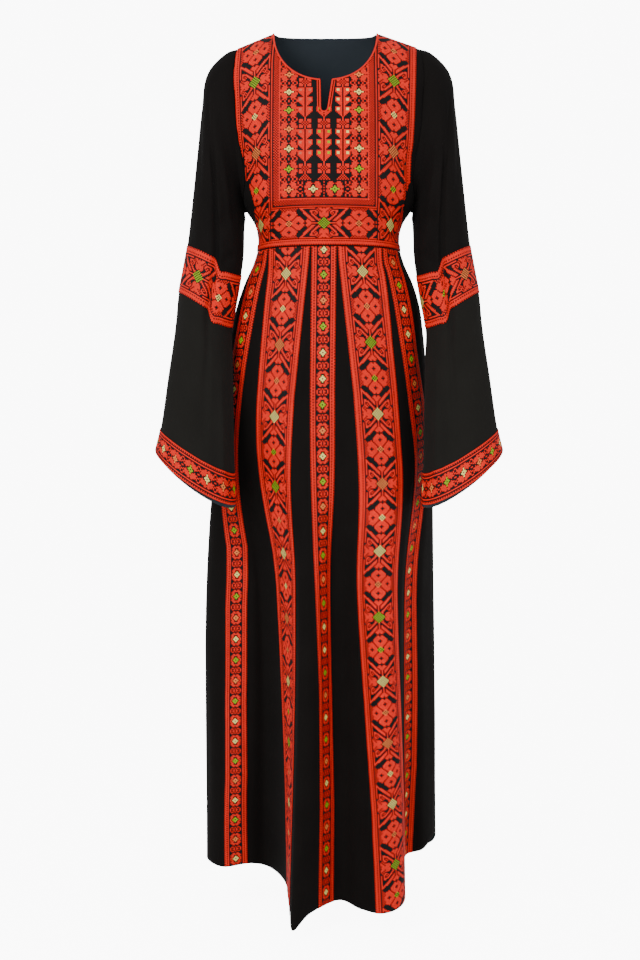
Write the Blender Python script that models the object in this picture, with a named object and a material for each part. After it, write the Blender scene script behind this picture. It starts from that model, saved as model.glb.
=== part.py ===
# A long black dress with embroidered bands, worn by nobody: hollow, open at neck, cuffs and hem.
# Metres, +Z up, front towards -Y. The origin lies between the shoulders, where a wearer holds it.
import math

import bmesh
import bpy
from mathutils import Vector

# Cloth
WALL = 0.0015        # thickness of the crepe
TRIM = 0.0010        # thickness of an embroidered band
LIFT = 0.0004        # air between a band and the crepe under it
SEAM = 0.0002        # each sewn edge stops this short of the seam line
TRIM_SEAM = 0.0003   # and a band's edge this short of the next band

# Bodice, from the shoulder seam to the waist seam
NECK_CENTRE_X = -0.0055   # the neckline, too, sits a little to the wearer's right
NECK_HALF = 0.084
NECK_DROP = 0.094
NECK_POWER = 2.2
BACK_NECK_Z = 0.004
BACK_SHOULDER_RISE = 0.035
SHOULDER_HALF = 0.152
SHOULDER_DROP = 0.025
ARMPIT_Z = -0.295
ARMHOLE_HALF_DEPTH = 0.062
RING_POWER = 2.3
WAIST_Z = -0.362
WAIST_PANEL_TOP_Z = -0.303
WAIST_PANEL_BOTTOM_Z = -0.352
CENTRE_X = -0.008    # the embroidery sits a little to the wearer's right
PANEL_HALF = 0.085
SLIT_HALF_TOP = 0.009
SLIT_HALF_BOTTOM = 0.0045
SLIT_BOTTOM_Z = -0.148

# One row for each level of the bodice
BODICE_LEVELS = (
    # z, half width, depth in front, depth behind
    (0.040, 0.150, 0.112, 0.090),
    (-0.028, 0.152, 0.112, 0.092),
    (-0.080, 0.156, 0.114, 0.095),
    (-0.120, 0.1525, 0.116, 0.098),
    (-0.164, 0.1495, 0.118, 0.100),
    (-0.200, 0.144, 0.119, 0.099),
    (-0.2455, 0.1365, 0.115, 0.094),
    (-0.295, 0.1355, 0.106, 0.088),
    (-0.308, 0.1265, 0.103, 0.086),
    (-0.333, 0.1175, 0.097, 0.082),
    (-0.362, 0.118, 0.092, 0.080),
)
# Heights of the bodice rows, as shares of the way from the top edge down to the armpit level
YOKE_SHARES = (0.0, 0.028, 0.075, 0.15, 0.27, 0.298, 0.40, 0.50, 0.60, 0.70, 0.80, 0.90, 1.0)
LOWER_ROWS_Z = (WAIST_PANEL_TOP_Z, -0.318, -0.335, WAIST_PANEL_BOTTOM_Z, WAIST_Z)
EDGE_CELLS = 5
PANEL_SHARES = (0.0, 0.10, 0.25, 0.45, 0.70, 0.93, 1.0)   # the last cell is the slit's binding
PANEL_CELLS = len(PANEL_SHARES) - 1
SLIT_ROWS = 4
BACK_CELLS = 6
BINDING_WIDTH = 0.006

# Skirt, from the waist seam to the hem
HIP_Z = -0.600
KNEE_Z = -0.920
SKIRT_LEVELS = (
    # z, half width right of the wearer, half width left, depth in front, depth behind
    (WAIST_Z, 0.118, 0.118, 0.092, 0.080),
    (-0.385, 0.1255, 0.1255, 0.098, 0.088),
    (-0.410, 0.137, 0.137, 0.103, 0.095),
    (-0.440, 0.148, 0.147, 0.108, 0.102),
    (-0.500, 0.163, 0.157, 0.114, 0.109),
    (HIP_Z, 0.177, 0.166, 0.119, 0.116),
)
# One row for each crest or valley that runs down the skirt, counter-clockwise from the right side
FOLD_LINES = (
    # name, direction at the hip in degrees from the front, knee x, knee y, hem x, hem y, hem z
    ("side_right", -90, -0.2045, 0.020, -0.204, 0.030, -1.374),
    ("round_right", -73, -0.186, -0.018, -0.176, -0.012, -1.379),
    ("flat_right", -58, -0.131, -0.047, -0.131, -0.022, -1.371),
    ("valley_right", -49, -0.109, -0.047, -0.098, -0.018, -1.378),
    ("rise_right", -38, -0.086, -0.066, -0.0715, -0.075, -1.388),
    ("shoulder_right", -25, -0.055, -0.126, -0.0625, -0.160, -1.403),
    ("crest_right", -18, -0.043, -0.148, -0.057, -0.208, -1.432),
    ("slope_right", -9, -0.019, -0.145, -0.030, -0.186, -1.411),
    ("valley_middle", 5, 0.0095, -0.107, 0.015, -0.131, -1.404),
    ("rise_left", 20, 0.046, -0.125, 0.050, -0.152, -1.413),
    ("crest_left", 36, 0.085, -0.144, 0.085, -0.181, -1.412),
    ("turn_left", 50, 0.114, -0.117, 0.1165, -0.155, -1.401),
    ("face_left", 60, 0.1215, -0.083, 0.122, -0.070, -1.375),
    ("valley_left", 68, 0.131, -0.062, 0.127, -0.010, -1.360),
    ("round_left", 79, 0.156, -0.042, 0.157, 0.000, -1.352),
    ("side_left", 90, 0.176, 0.020, 0.180, 0.045, -1.334),
    ("back_round_left", 112, 0.166, 0.085, 0.176, 0.110, -1.365),
    ("back_valley_left", 135, 0.115, 0.112, 0.122, 0.132, -1.385),
    ("back_crest_left", 158, 0.055, 0.137, 0.070, 0.190, -1.390),
    ("back_valley", 180, -0.012, 0.122, -0.012, 0.145, -1.385),
    ("back_crest_right", 202, -0.078, 0.139, -0.092, 0.193, -1.390),
    ("back_valley_right", 225, -0.138, 0.112, -0.144, 0.132, -1.385),
    ("back_round_right", 248, -0.187, 0.085, -0.197, 0.112, -1.377),
)
CURVE_STEPS = 12
SKIRT_ROWS_Z = (-0.362, -0.365, -0.385, -0.41, -0.44, -0.50, -0.57, -0.65, -0.74, -0.83, -0.92, -1.02,
                -1.12, -1.22, -1.31, -1.40)
WIDE = 0.075
NARROW = 0.040
MIDDLE_SHIFT = 0.003  # the centre strip comes back towards the middle by the hem
# Black cloth between the strips, measured along the cloth
GUSSETS = (
    # z, then centre to wide strip and wide to outer strip, right of the wearer and left
    (WAIST_Z, 0.002, 0.002, 0.002, 0.002),
    (-0.39, 0.004, 0.003, 0.004, 0.003),
    (HIP_Z, 0.025, 0.019, 0.029, 0.022),
    (-0.86, 0.043, 0.042, 0.048, 0.041),
    (-0.96, 0.058, 0.060, 0.055, 0.051),
    (-1.12, 0.078, 0.086, 0.066, 0.073),
    (-1.28, 0.090, 0.116, 0.077, 0.094),
    (-1.40, 0.095, 0.140, 0.087, 0.110),
)
SIDE_CELLS = 3
NARROW_CELLS = 2
GUSSET_CELLS = 3
WIDE_CELLS = 4
SKIRT_BACK_CELLS = 18

# Sleeve, drawn for the wearer's left and mirrored for the right. One row for each ring
SLEEVE_RINGS = (
    # outer x, outer z, inner x, inner z, ring centre y, half depth
    (0.170, -0.033, 0.1375, -0.3000, 0.000, 0.056),
    (0.185, -0.0445, 0.1380, -0.3045, 0.000, 0.058),
    (0.1965, -0.058, 0.1385, -0.3090, 0.000, 0.060),
    (0.204, -0.075, 0.1390, -0.3140, -0.002, 0.061),
    (0.210, -0.125, 0.1395, -0.3260, -0.007, 0.061),
    (0.2155, -0.190, 0.1395, -0.3420, -0.016, 0.060),
    (0.2225, -0.270, 0.1395, -0.3680, -0.029, 0.057),
    (0.231, -0.358, 0.1430, -0.4050, -0.045, 0.053),
    (0.2375, -0.397, 0.1500, -0.4480, -0.050, 0.052),
    (0.2436, -0.435, 0.1570, -0.4915, -0.060, 0.050),
    (0.247, -0.488, 0.1550, -0.5450, -0.079, 0.050),
    (0.2555, -0.565, 0.1525, -0.6250, -0.099, 0.051),
    (0.2678, -0.657, 0.1500, -0.7280, -0.113, 0.056),
    (0.2754, -0.6906, 0.1470, -0.7745, -0.119, 0.059),
)
ELBOW_TOP_RING = 8
ELBOW_SEAM_RING = 9
ELBOW_BOTTOM_RING = 10
CUFF_TOP_RING = 13
CUFF_DIP_FRONT = 0.019
CUFF_DIP_BACK = 0.030
SLEEVE_FRONT_CELLS = 5
SLEEVE_BACK_CELLS = 12
# The crease that runs from the shoulder through the elbow band: one row for each ring from the armhole
CREASE_DEPTH = 0.008
CREASE_STEP = 0.017
CREASE_HALF_ANGLE = 9.0
CREASE = (
    # direction in degrees from the outer edge, strength
    (60, 0.0), (60, 0.0), (60, 0.0), (60, 0.05), (62, 0.15), (68, 0.4), (78, 0.7), (88, 0.9),
    (96, 1.0), (97, 1.0), (98, 1.0), (100, 0.6), (102, 0.2), (104, 0.0), (104, 0.0),
)

bpy.context.preferences.edit.use_global_undo = False
for old in list(bpy.data.objects):
    bpy.data.objects.remove(old, do_unlink=True)


# Values read off the tables
def between(table, key, column):
    """Value of one column at a height, on straight lines between the rows of a table."""
    rows = sorted(table, key=lambda row: row[0])
    if key <= rows[0][0]:
        return rows[0][column]
    for low, high in zip(rows, rows[1:]):
        if key <= high[0]:
            share = (key - low[0]) / (high[0] - low[0])
            return low[column] + (high[column] - low[column]) * share
    return rows[-1][column]


def mix(a, b, share):
    return a + (b - a) * share


# Bodice surface
def neck_point_x(side):
    """Inner end of a shoulder seam."""
    return NECK_CENTRE_X + side * NECK_HALF


def from_neck_centre(x):
    """Distance from the middle of the neck: 1 at the neck points."""
    return abs(x - NECK_CENTRE_X) / NECK_HALF


def shoulder_z(x, behind):
    """Height of the shoulder seam, carried on across the neck opening."""
    if from_neck_centre(x) >= 1:
        neck_x = abs(neck_point_x(1 if x > 0 else -1))
        return -SHOULDER_DROP * (abs(x) - neck_x) / (SHOULDER_HALF - neck_x)
    return BACK_SHOULDER_RISE * (1 - from_neck_centre(x) ** 2) if behind else 0.0


def bodice_y(x, z, behind):
    """Distance of the cloth in front of or behind the side seams at a place on the bodice."""
    half = between(BODICE_LEVELS, z, 1)
    depth = between(BODICE_LEVELS, z, 3 if behind else 2)
    top = shoulder_z(x, behind)
    fall = min(1.0, max(0.0, (top - z) / (top - ARMPIT_Z)))
    rise = math.sqrt(1 - (1 - fall) ** 2)
    down = min(1.0, max(0.0, (-SHOULDER_DROP - z) / (-SHOULDER_DROP - ARMPIT_Z)))
    edge = ARMHOLE_HALF_DEPTH * math.sqrt(1 - down ** 6)
    across = min(1.0, abs(x) / half)
    ring = (1 - across ** RING_POWER) ** (1 / RING_POWER)
    round_out = mix(1 - across ** 2.6, ring, down ** 8)
    reach = rise * (edge + (depth - edge) * round_out)
    return reach if behind else -reach


def top_edge_z(x, behind):
    """Height of the shoulder seam or of the neckline at a distance from the middle."""
    if from_neck_centre(x) >= 1:
        return shoulder_z(x, behind)
    if behind:
        return BACK_NECK_Z * (1 - from_neck_centre(x) ** 2)
    return -NECK_DROP * (1 - from_neck_centre(x) ** NECK_POWER) ** (1 / NECK_POWER)


def panel_edge_x(z, side):
    """Edge of the chest panel: it leaves the neck point and soon runs straight down."""
    down = min(1.0, max(0.0, -z / 0.06))
    return mix(neck_point_x(side), CENTRE_X + side * PANEL_HALF, down)


def slit_half(z):
    down = min(1.0, max(0.0, (-NECK_DROP - z) / (-NECK_DROP - SLIT_BOTTOM_Z)))
    return mix(SLIT_HALF_TOP, SLIT_HALF_BOTTOM, down)


def outer_zone_x(z, side, share):
    """Place between the chest panel's edge and the armhole or side seam."""
    half = between(BODICE_LEVELS, z, 1)
    start = math.asin(min(1.0, abs(panel_edge_x(z, side)) / half))
    return side * half * math.sin(mix(start, math.pi / 2, share))


def front_column_x(column, z):
    """Columns of the front: armhole, panel edge, slit, panel edge, armhole."""
    side = -1
    if column > EDGE_CELLS + PANEL_CELLS:
        side = 1
        column = 2 * (EDGE_CELLS + PANEL_CELLS) + 1 - column
    if column <= EDGE_CELLS:
        return outer_zone_x(z, side, 1 - column / EDGE_CELLS)
    share = PANEL_SHARES[column - EDGE_CELLS]
    return mix(panel_edge_x(z, side), CENTRE_X + side * slit_half(z), share)


def back_column_x(column, z):
    """Columns of the back, from the wearer's left to the right."""
    if column <= EDGE_CELLS:
        return outer_zone_x(z, 1, 1 - column / EDGE_CELLS)
    if column >= EDGE_CELLS + BACK_CELLS:
        return outer_zone_x(z, -1, (column - EDGE_CELLS - BACK_CELLS) / EDGE_CELLS)
    return mix(panel_edge_x(z, 1), panel_edge_x(z, -1), (column - EDGE_CELLS) / BACK_CELLS)


def bodice_grid(column_x, columns, behind):
    """Rows of points from the top edge down to the waist seam."""
    tops = []
    for column in range(columns):
        z = -0.03
        for _ in range(30):
            z = mix(z, top_edge_z(column_x(column, z), behind), 0.5)
        tops.append(z)
    rows = []
    for share in YOKE_SHARES:
        heights = [mix(top, ARMPIT_Z, share) for top in tops]
        rows.append([place(column_x(c, z), z, behind) for c, z in enumerate(heights)])
    for c in range(EDGE_CELLS + 1, columns - 1 - EDGE_CELLS):
        before, middle, after = (rows[0][c + k] for k in (-1, 0, 1))
        along = Vector((after.x - before.x, 0.0, after.z - before.z)).normalized()
        away = Vector((-along.z, 0.0, along.x))
        if away.z > 0:
            away = -away
        spot = middle + away * BINDING_WIDTH
        rows[1][c] = place(spot.x, spot.z, behind)
    for z in LOWER_ROWS_Z:
        rows.append([place(column_x(c, z), z, behind) for c in range(columns)])
    return rows


def place(x, z, behind):
    return Vector((x, bodice_y(x, z, behind), z))


# Skirt surface
def base_ring_point(degrees, z):
    """Point of the plain ring between waist and hip."""
    side = 1 if math.sin(math.radians(degrees)) < 0 else 2
    half = between(SKIRT_LEVELS, z, side)
    depth = between(SKIRT_LEVELS, z, 3 if math.cos(math.radians(degrees)) > 0 else 4)
    sine = math.sin(math.radians(degrees))
    cosine = math.cos(math.radians(degrees))
    length = (abs(sine) ** RING_POWER + abs(cosine) ** RING_POWER) ** (-1 / RING_POWER)
    return Vector((half * sine * length, -depth * cosine * length, z))


def fold_point(fold, level):
    """Point of a fold line: level 0 at the waist, 1 at the hem row."""
    name, degrees, knee_x, knee_y, hem_x, hem_y, hem_z = fold
    z = mix(WAIST_Z, hem_z, level)
    if z >= HIP_Z:
        return base_ring_point(degrees, z)
    hip = base_ring_point(degrees, HIP_Z)
    above = base_ring_point(degrees, HIP_Z + 0.05)
    knee = Vector((knee_x, knee_y, KNEE_Z))
    hem = Vector((hem_x, hem_y, hem_z))
    slope_hip = (hip - above) / 0.05
    slope_knee = (hem - hip) / (HIP_Z - hem_z)
    slope_hem = (hem - knee) / (KNEE_Z - hem_z)
    if z >= KNEE_Z:
        return hermite(hip, slope_hip, knee, slope_knee, HIP_Z - KNEE_Z, (HIP_Z - z) / (HIP_Z - KNEE_Z), z)
    return hermite(knee, slope_knee, hem, slope_hem, KNEE_Z - hem_z, (KNEE_Z - z) / (KNEE_Z - hem_z), z)


def hermite(start, start_slope, end, end_slope, length, t, z):
    point = start * (2 * t ** 3 - 3 * t ** 2 + 1) + start_slope * length * (t ** 3 - 2 * t ** 2 + t)
    point += end * (3 * t ** 2 - 2 * t ** 3) + end_slope * length * (t ** 3 - t ** 2)
    point.z = z
    return point


def skirt_curve(level):
    """Closed smooth curve through the fold lines at one level, with its fold points marked."""
    knots = [fold_point(fold, level) for fold in FOLD_LINES]
    count = len(knots)
    curve = []
    for i in range(count):
        a, b, c, d = (knots[(i + k) % count] for k in (-1, 0, 1, 2))
        for step in range(CURVE_STEPS):
            t = step / CURVE_STEPS
            point = 2 * b + (c - a) * t + (2 * a - 5 * b + 4 * c - d) * t ** 2
            point += (3 * b - a - 3 * c + d) * t ** 3
            curve.append(point / 2)
    return curve


def arc_lengths(points):
    lengths = [0.0]
    for a, b in zip(points, points[1:]):
        lengths.append(lengths[-1] + (b - a).length)
    return lengths


def point_at(points, lengths, wanted):
    for i in range(1, len(points)):
        if wanted <= lengths[i] or i == len(points) - 1:
            span = max(1e-9, lengths[i] - lengths[i - 1])
            return points[i - 1].lerp(points[i], (wanted - lengths[i - 1]) / span)
    return points[-1]


def strip_marks(z, column):
    """Distances from the skirt's middle to the edges of the strips on one side."""
    marks = [0.0, NARROW / 2]
    for width in (between(GUSSETS, z, column), WIDE, between(GUSSETS, z, column + 1), NARROW):
        marks.append(marks[-1] + width)
    return marks


def skirt_row(level):
    """Points of one skirt ring and the number of those that belong to the front."""
    curve = skirt_curve(level)
    fold_names = [fold[0] for fold in FOLD_LINES]
    right_side = fold_names.index("side_right") * CURVE_STEPS
    left_side = fold_names.index("side_left") * CURVE_STEPS
    front = curve[right_side:left_side + 1]
    back = curve[left_side:] + curve[:1]
    lengths = arc_lengths(front)
    z = mix(WAIST_Z, -1.40, level)
    middle_x = CENTRE_X + MIDDLE_SHIFT * level
    middle = 0.0
    for i in range(1, len(front)):
        a, b = front[i - 1], front[i]
        if a.x <= middle_x <= b.x and b.y < -0.05:
            middle = mix(lengths[i - 1], lengths[i], (middle_x - a.x) / (b.x - a.x))
    cells = (NARROW_CELLS // 2, GUSSET_CELLS, WIDE_CELLS, GUSSET_CELLS, NARROW_CELLS, SIDE_CELLS)
    right_marks = [middle - mark for mark in strip_marks(z, 1)] + [0.0]
    left_marks = [middle + mark for mark in strip_marks(z, 3)] + [lengths[-1]]
    stations = [right_marks[-1]]
    for i in range(len(cells) - 1, -1, -1):
        for step in range(1, cells[i] + 1):
            stations.append(mix(right_marks[i + 1], right_marks[i], step / cells[i]))
    for i, count in enumerate(cells):
        for step in range(1, count + 1):
            stations.append(mix(left_marks[i], left_marks[i + 1], step / count))
    row = [point_at(front, lengths, station) for station in stations]
    back_lengths = arc_lengths(back)
    for step in range(1, SKIRT_BACK_CELLS):
        row.append(point_at(back, back_lengths, back_lengths[-1] * step / SKIRT_BACK_CELLS))
    return row, len(stations)


# Sleeve surface
def armhole_ring(front, back):
    """Armhole seam of the wearer's left side, from the shoulder round the front to the armpit and back."""
    armpit = len(YOKE_SHARES) - 1
    ring = [row[-1] for row in front[:armpit + 1]]
    ring += [row[0] for row in back[armpit - 1:0:-1]]
    return ring


def sleeve_angles(ring):
    """Directions of a ring's columns, closer together round the crease."""
    crease, strength = CREASE[ring]
    low = crease - CREASE_HALF_ANGLE
    high = crease + CREASE_HALF_ANGLE
    angles = [low * step / SLEEVE_FRONT_CELLS for step in range(SLEEVE_FRONT_CELLS + 1)]
    angles.append(crease)
    angles += [mix(high, 180.0, step / SLEEVE_FRONT_CELLS) for step in range(SLEEVE_FRONT_CELLS + 1)]
    angles += [180.0 + 180.0 * step / SLEEVE_BACK_CELLS for step in range(1, SLEEVE_BACK_CELLS)]
    return angles


def sleeve_grid(side, armhole):
    """Rings of a sleeve from the armhole to the cuff's hem."""
    clear = Vector((2 * SEAM, 0.0, 0.0))
    rows = [[point + clear for point in armhole]]
    last = len(SLEEVE_RINGS)
    for ring, (out_x, out_z, in_x, in_z, centre_y, depth) in enumerate(SLEEVE_RINGS, start=1):
        crease, strength = CREASE[ring]
        outer = Vector((out_x, centre_y, out_z))
        inner = Vector((in_x, centre_y, in_z))
        centre = (outer + inner) / 2
        flare = max(0.0, (ring - ELBOW_BOTTOM_RING) / (last - ELBOW_BOTTOM_RING)) ** 2
        row = []
        for column, angle in enumerate(sleeve_angles(ring)):
            turn = math.radians(angle)
            point = centre + (outer - centre) * math.cos(turn)
            point.y -= depth * math.sin(turn)
            dip = CUFF_DIP_FRONT if math.sin(turn) > 0 else CUFF_DIP_BACK
            point.z -= flare * dip * abs(math.sin(turn))
            if angle == crease:
                point.y += CREASE_DEPTH * strength
            if crease < angle < 180.0:
                point.z -= CREASE_STEP * strength * (180.0 - angle) / (180.0 - crease)
            if ring == 1:
                point = point.lerp(armhole[column] + Vector((0.012, 0.0, 0.0)), 0.35)
            row.append(point)
        rows.append(row)
    grid = []
    for row in rows:
        row = [Vector((side * p.x, p.y, p.z)) for p in row]
        grid.append(row[::-1] if side > 0 else row)
    return grid


# Solids
def grid_normals(grid, closed):
    """Outward direction at every point, from its neighbours along and across."""
    rows = len(grid)
    columns = len(grid[0])
    normals = []
    for i in range(rows):
        line = []
        for j in range(columns):
            before = (j - 1) % columns if closed else max(0, j - 1)
            after = (j + 1) % columns if closed else min(columns - 1, j + 1)
            along = grid[min(rows - 1, i + 1)][j] - grid[max(0, i - 1)][j]
            across = grid[i][after] - grid[i][before]
            line.append(along.cross(across).normalized())
        normals.append(line)
    return normals


def squared_off(normals, rows, columns, axis):
    """Keeps the rim of a sewn edge square to the seam, so that two walls meet without crossing."""
    for i in rows:
        for j in columns:
            normals[i][j][axis] = 0.0
            normals[i][j].normalize()


def drawn_in(grid, normals, cells, amount):
    """Moves every point on a free edge a little into the cloth, so that sewn pieces stay apart."""
    columns = len(grid[0])
    centres = {}
    for i, j in cells:
        k = (j + 1) % columns
        middle = (grid[i][j] + grid[i + 1][j] + grid[i][k] + grid[i + 1][k]) / 4
        for corner in ((i, j), (i + 1, j), (i, k), (i + 1, k)):
            centres.setdefault(corner, []).append(middle)
    moved = [list(row) for row in grid]
    for (i, j), around in centres.items():
        if len(around) < 4:
            towards = sum(around, Vector()) / len(around) - grid[i][j]
            towards -= normals[i][j] * towards.dot(normals[i][j])
            moved[i][j] = grid[i][j] + towards.normalized() * amount
    return moved


def wall(name, material, grid, normals, low, high, closed=False, missing=(), edge=SEAM):
    """Closed solid between two layers at the given heights over a grid of points."""
    rows = len(grid)
    columns = len(grid[0])
    cells = {(i, j) for i in range(rows - 1) for j in range(columns if closed else columns - 1)}
    cells -= set(missing)
    grid = drawn_in(grid, normals, cells, edge)
    mesh = bmesh.new()
    layers = []
    for height in (low, high):
        layers.append([[mesh.verts.new(p + n * height) for p, n in zip(row, line)]
                       for row, line in zip(grid, normals)])
    inside, outside = layers
    for i, j in sorted(cells):
        k = (j + 1) % columns
        mesh.faces.new((outside[i][j], outside[i + 1][j], outside[i + 1][k]))
        mesh.faces.new((outside[i][j], outside[i + 1][k], outside[i][k]))
        mesh.faces.new((inside[i + 1][k], inside[i + 1][j], inside[i][j]))
        mesh.faces.new((inside[i][k], inside[i + 1][k], inside[i][j]))
        before = ((i, (j - 1) % columns) if closed else (i, j - 1))
        after = ((i, k) if closed else (i, j + 1))
        rims = ((before, (i, j), (i + 1, j)), (after, (i + 1, k), (i, k)),
                ((i - 1, j), (i, k), (i, j)), ((i + 1, j), (i + 1, j), (i + 1, k)))
        for neighbour, (a, b), (c, d) in rims:
            if neighbour not in cells:
                mesh.faces.new((outside[c][d], outside[a][b], inside[a][b]))
                mesh.faces.new((outside[c][d], inside[a][b], inside[c][d]))
    loose = [vertex for vertex in mesh.verts if not vertex.link_faces]
    bmesh.ops.delete(mesh, geom=loose, context="VERTS")
    data = bpy.data.meshes.new(name)
    mesh.to_mesh(data)
    mesh.free()
    data.materials.append(material)
    body = bpy.data.objects.new(name, data)
    bpy.context.scene.collection.objects.link(body)
    return body


def cloth_panel(name, grid, normals, closed=False, missing=()):
    """Crepe panel whose outer face lies on the grid."""
    return wall(name, crepe, grid, normals, -WALL, 0.0, closed, missing)


def trim_band(name, material, grid, normals, rows, columns=None, missing=()):
    """Embroidered band on a part of a panel's own grid, moved out from it."""
    first, last = rows
    part = [list(row) for row in grid[first:last + 1]]
    lines = [list(line) for line in normals[first:last + 1]]
    if columns:
        left, right = columns
        part = [row[left:right + 1] for row in part]
        lines = [line[left:right + 1] for line in lines]
    return wall(name, material, part, lines, LIFT, LIFT + TRIM, not columns, missing, TRIM_SEAM)


def plain_material(name, colour, roughness):
    material = bpy.data.materials.new(name)
    material.use_nodes = True
    shader = material.node_tree.nodes["Principled BSDF"]
    shader.inputs["Base Color"].default_value = (*colour, 1.0)
    shader.inputs["Roughness"].default_value = roughness
    shader.inputs["Metallic"].default_value = 0.0
    return material


crepe = plain_material("black_crepe", (0.010, 0.009, 0.010), 0.85)
embroidery = plain_material("red_embroidery", (0.60, 0.055, 0.020), 0.75)
binding = plain_material("red_binding", (0.50, 0.040, 0.020), 0.75)


def square_bodice(normals):
    """Shoulder, armhole, side and waist seams of a bodice panel."""
    armpit = len(YOKE_SHARES) - 1
    ends = (0, len(normals[0]) - 1)
    squared_off(normals, range(armpit, len(normals)), ends, 1)
    squared_off(normals, (0,), range(EDGE_CELLS + 1), 1)
    squared_off(normals, (0,), range(len(normals[0]) - 1 - EDGE_CELLS, len(normals[0])), 1)
    squared_off(normals, (len(normals) - 1,), range(len(normals[0])), 2)


# Bodice front, with its slit, and the bands sewn on it
FRONT_COLUMNS = 2 * (EDGE_CELLS + PANEL_CELLS) + 2
SLIT_COLUMN = EDGE_CELLS + PANEL_CELLS
front_grid = bodice_grid(front_column_x, FRONT_COLUMNS, False)
front_normals = grid_normals(front_grid, False)
square_bodice(front_normals)
slit_cells = {(row, SLIT_COLUMN) for row in range(SLIT_ROWS)}
cloth_panel("bodice_front", front_grid, front_normals, missing=slit_cells)
chest_columns = (EDGE_CELLS, FRONT_COLUMNS - 1 - EDGE_CELLS)
slit_edges = (PANEL_CELLS - 1, PANEL_CELLS, PANEL_CELLS + 1)
neck_corners = (0, 2 * PANEL_CELLS)
chest_slit = {(row, edge) for row in range(SLIT_ROWS) for edge in slit_edges}
chest_slit |= {(row, corner) for corner in neck_corners for row in (0, 1)}
trim_band("chest_panel", embroidery, front_grid, front_normals, (1, len(YOKE_SHARES)), chest_columns,
          chest_slit)
bare = {(row, cell) for row in range(1, SLIT_ROWS + 1) for cell in range(2 * PANEL_CELLS + 1)}
bare -= {(row, edge) for row in range(1, SLIT_ROWS + 1) for edge in slit_edges}
bare |= {(row, PANEL_CELLS) for row in range(SLIT_ROWS)} | {(0, corner) for corner in neck_corners}
trim_band("neck_binding", binding, front_grid, front_normals, (0, SLIT_ROWS + 1), chest_columns, bare)
waist_row = len(YOKE_SHARES)
yoke_rows = (0, waist_row + 3)
underarm = range(waist_row - 4, waist_row + 3)
trim_band("yoke_band_right", embroidery, front_grid, front_normals, yoke_rows, (0, EDGE_CELLS),
          {(row, 0) for row in underarm})
trim_band("yoke_band_left", embroidery, front_grid, front_normals, yoke_rows,
          (FRONT_COLUMNS - 1 - EDGE_CELLS, FRONT_COLUMNS - 1), {(row, EDGE_CELLS - 1) for row in underarm})
trim_band("waist_panel", embroidery, front_grid, front_normals, (waist_row, waist_row + 3), chest_columns)
trim_band("waist_border", embroidery, front_grid, front_normals, (waist_row + 3, waist_row + 4),
          (0, FRONT_COLUMNS - 1))

# Bodice back
BACK_COLUMNS = 2 * EDGE_CELLS + BACK_CELLS + 1
back_grid = bodice_grid(back_column_x, BACK_COLUMNS, True)
back_normals = grid_normals(back_grid, False)
square_bodice(back_normals)
cloth_panel("bodice_back", back_grid, back_normals)

# Skirt front and back, cut from one ring, and the strips sewn on the front
levels = [(WAIST_Z - z) / (WAIST_Z + 1.40) for z in SKIRT_ROWS_Z]
skirt_rows = [skirt_row(level) for level in levels]
skirt_grid = [row for row, count in skirt_rows]
front_count = skirt_rows[0][1]
skirt_normals = grid_normals(skirt_grid, True)
squared_off(skirt_normals, (0,), range(len(skirt_grid[0])), 2)
skirt_front_grid = [row[:front_count] for row in skirt_grid]
skirt_front_normals = [line[:front_count] for line in skirt_normals]
cloth_panel("skirt_front", skirt_front_grid, skirt_front_normals)
skirt_back_grid = [row[front_count - 1:] + row[:1] for row in skirt_grid]
skirt_back_normals = [line[front_count - 1:] + line[:1] for line in skirt_normals]
cloth_panel("skirt_back", skirt_back_grid, skirt_back_normals)
column = SIDE_CELLS
for strip, cells, gusset in (("strip_side_right", NARROW_CELLS, GUSSET_CELLS),
                             ("strip_wide_right", WIDE_CELLS, GUSSET_CELLS),
                             ("strip_centre", NARROW_CELLS, GUSSET_CELLS),
                             ("strip_wide_left", WIDE_CELLS, GUSSET_CELLS),
                             ("strip_side_left", NARROW_CELLS, GUSSET_CELLS)):
    trim_band(strip, embroidery, skirt_front_grid, skirt_front_normals,
              (1, len(SKIRT_ROWS_Z) - 1), (column, column + cells))
    column += cells + gusset

# Sleeves with their elbow and cuff bands
for side, hand in ((-1, "right"), (1, "left")):
    grid = sleeve_grid(side, armhole_ring(front_grid, back_grid))
    normals = grid_normals(grid, True)
    seam = ELBOW_SEAM_RING
    cloth_panel("upper_sleeve_" + hand, grid[:seam + 1], normals[:seam + 1], closed=True)
    cloth_panel("bell_" + hand, grid[seam:], normals[seam:], closed=True)
    trim_band("elbow_band_" + hand, embroidery, grid, normals, (ELBOW_TOP_RING, ELBOW_BOTTOM_RING))
    trim_band("cuff_band_" + hand, embroidery, grid, normals, (CUFF_TOP_RING, len(grid) - 1))
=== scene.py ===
import math

import bpy
import numpy as np
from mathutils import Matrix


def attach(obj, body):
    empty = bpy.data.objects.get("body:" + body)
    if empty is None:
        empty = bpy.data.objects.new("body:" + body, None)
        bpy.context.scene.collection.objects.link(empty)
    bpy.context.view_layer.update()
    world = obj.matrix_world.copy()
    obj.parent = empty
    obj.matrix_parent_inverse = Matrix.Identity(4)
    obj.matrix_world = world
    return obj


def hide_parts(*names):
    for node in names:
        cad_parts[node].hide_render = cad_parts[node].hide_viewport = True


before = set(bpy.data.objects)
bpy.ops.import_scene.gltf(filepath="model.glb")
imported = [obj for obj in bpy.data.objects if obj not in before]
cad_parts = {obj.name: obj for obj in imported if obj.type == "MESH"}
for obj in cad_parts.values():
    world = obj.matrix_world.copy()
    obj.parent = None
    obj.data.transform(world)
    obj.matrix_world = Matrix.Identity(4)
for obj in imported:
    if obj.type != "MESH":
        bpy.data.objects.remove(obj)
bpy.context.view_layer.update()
scene = bpy.context.scene

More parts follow.
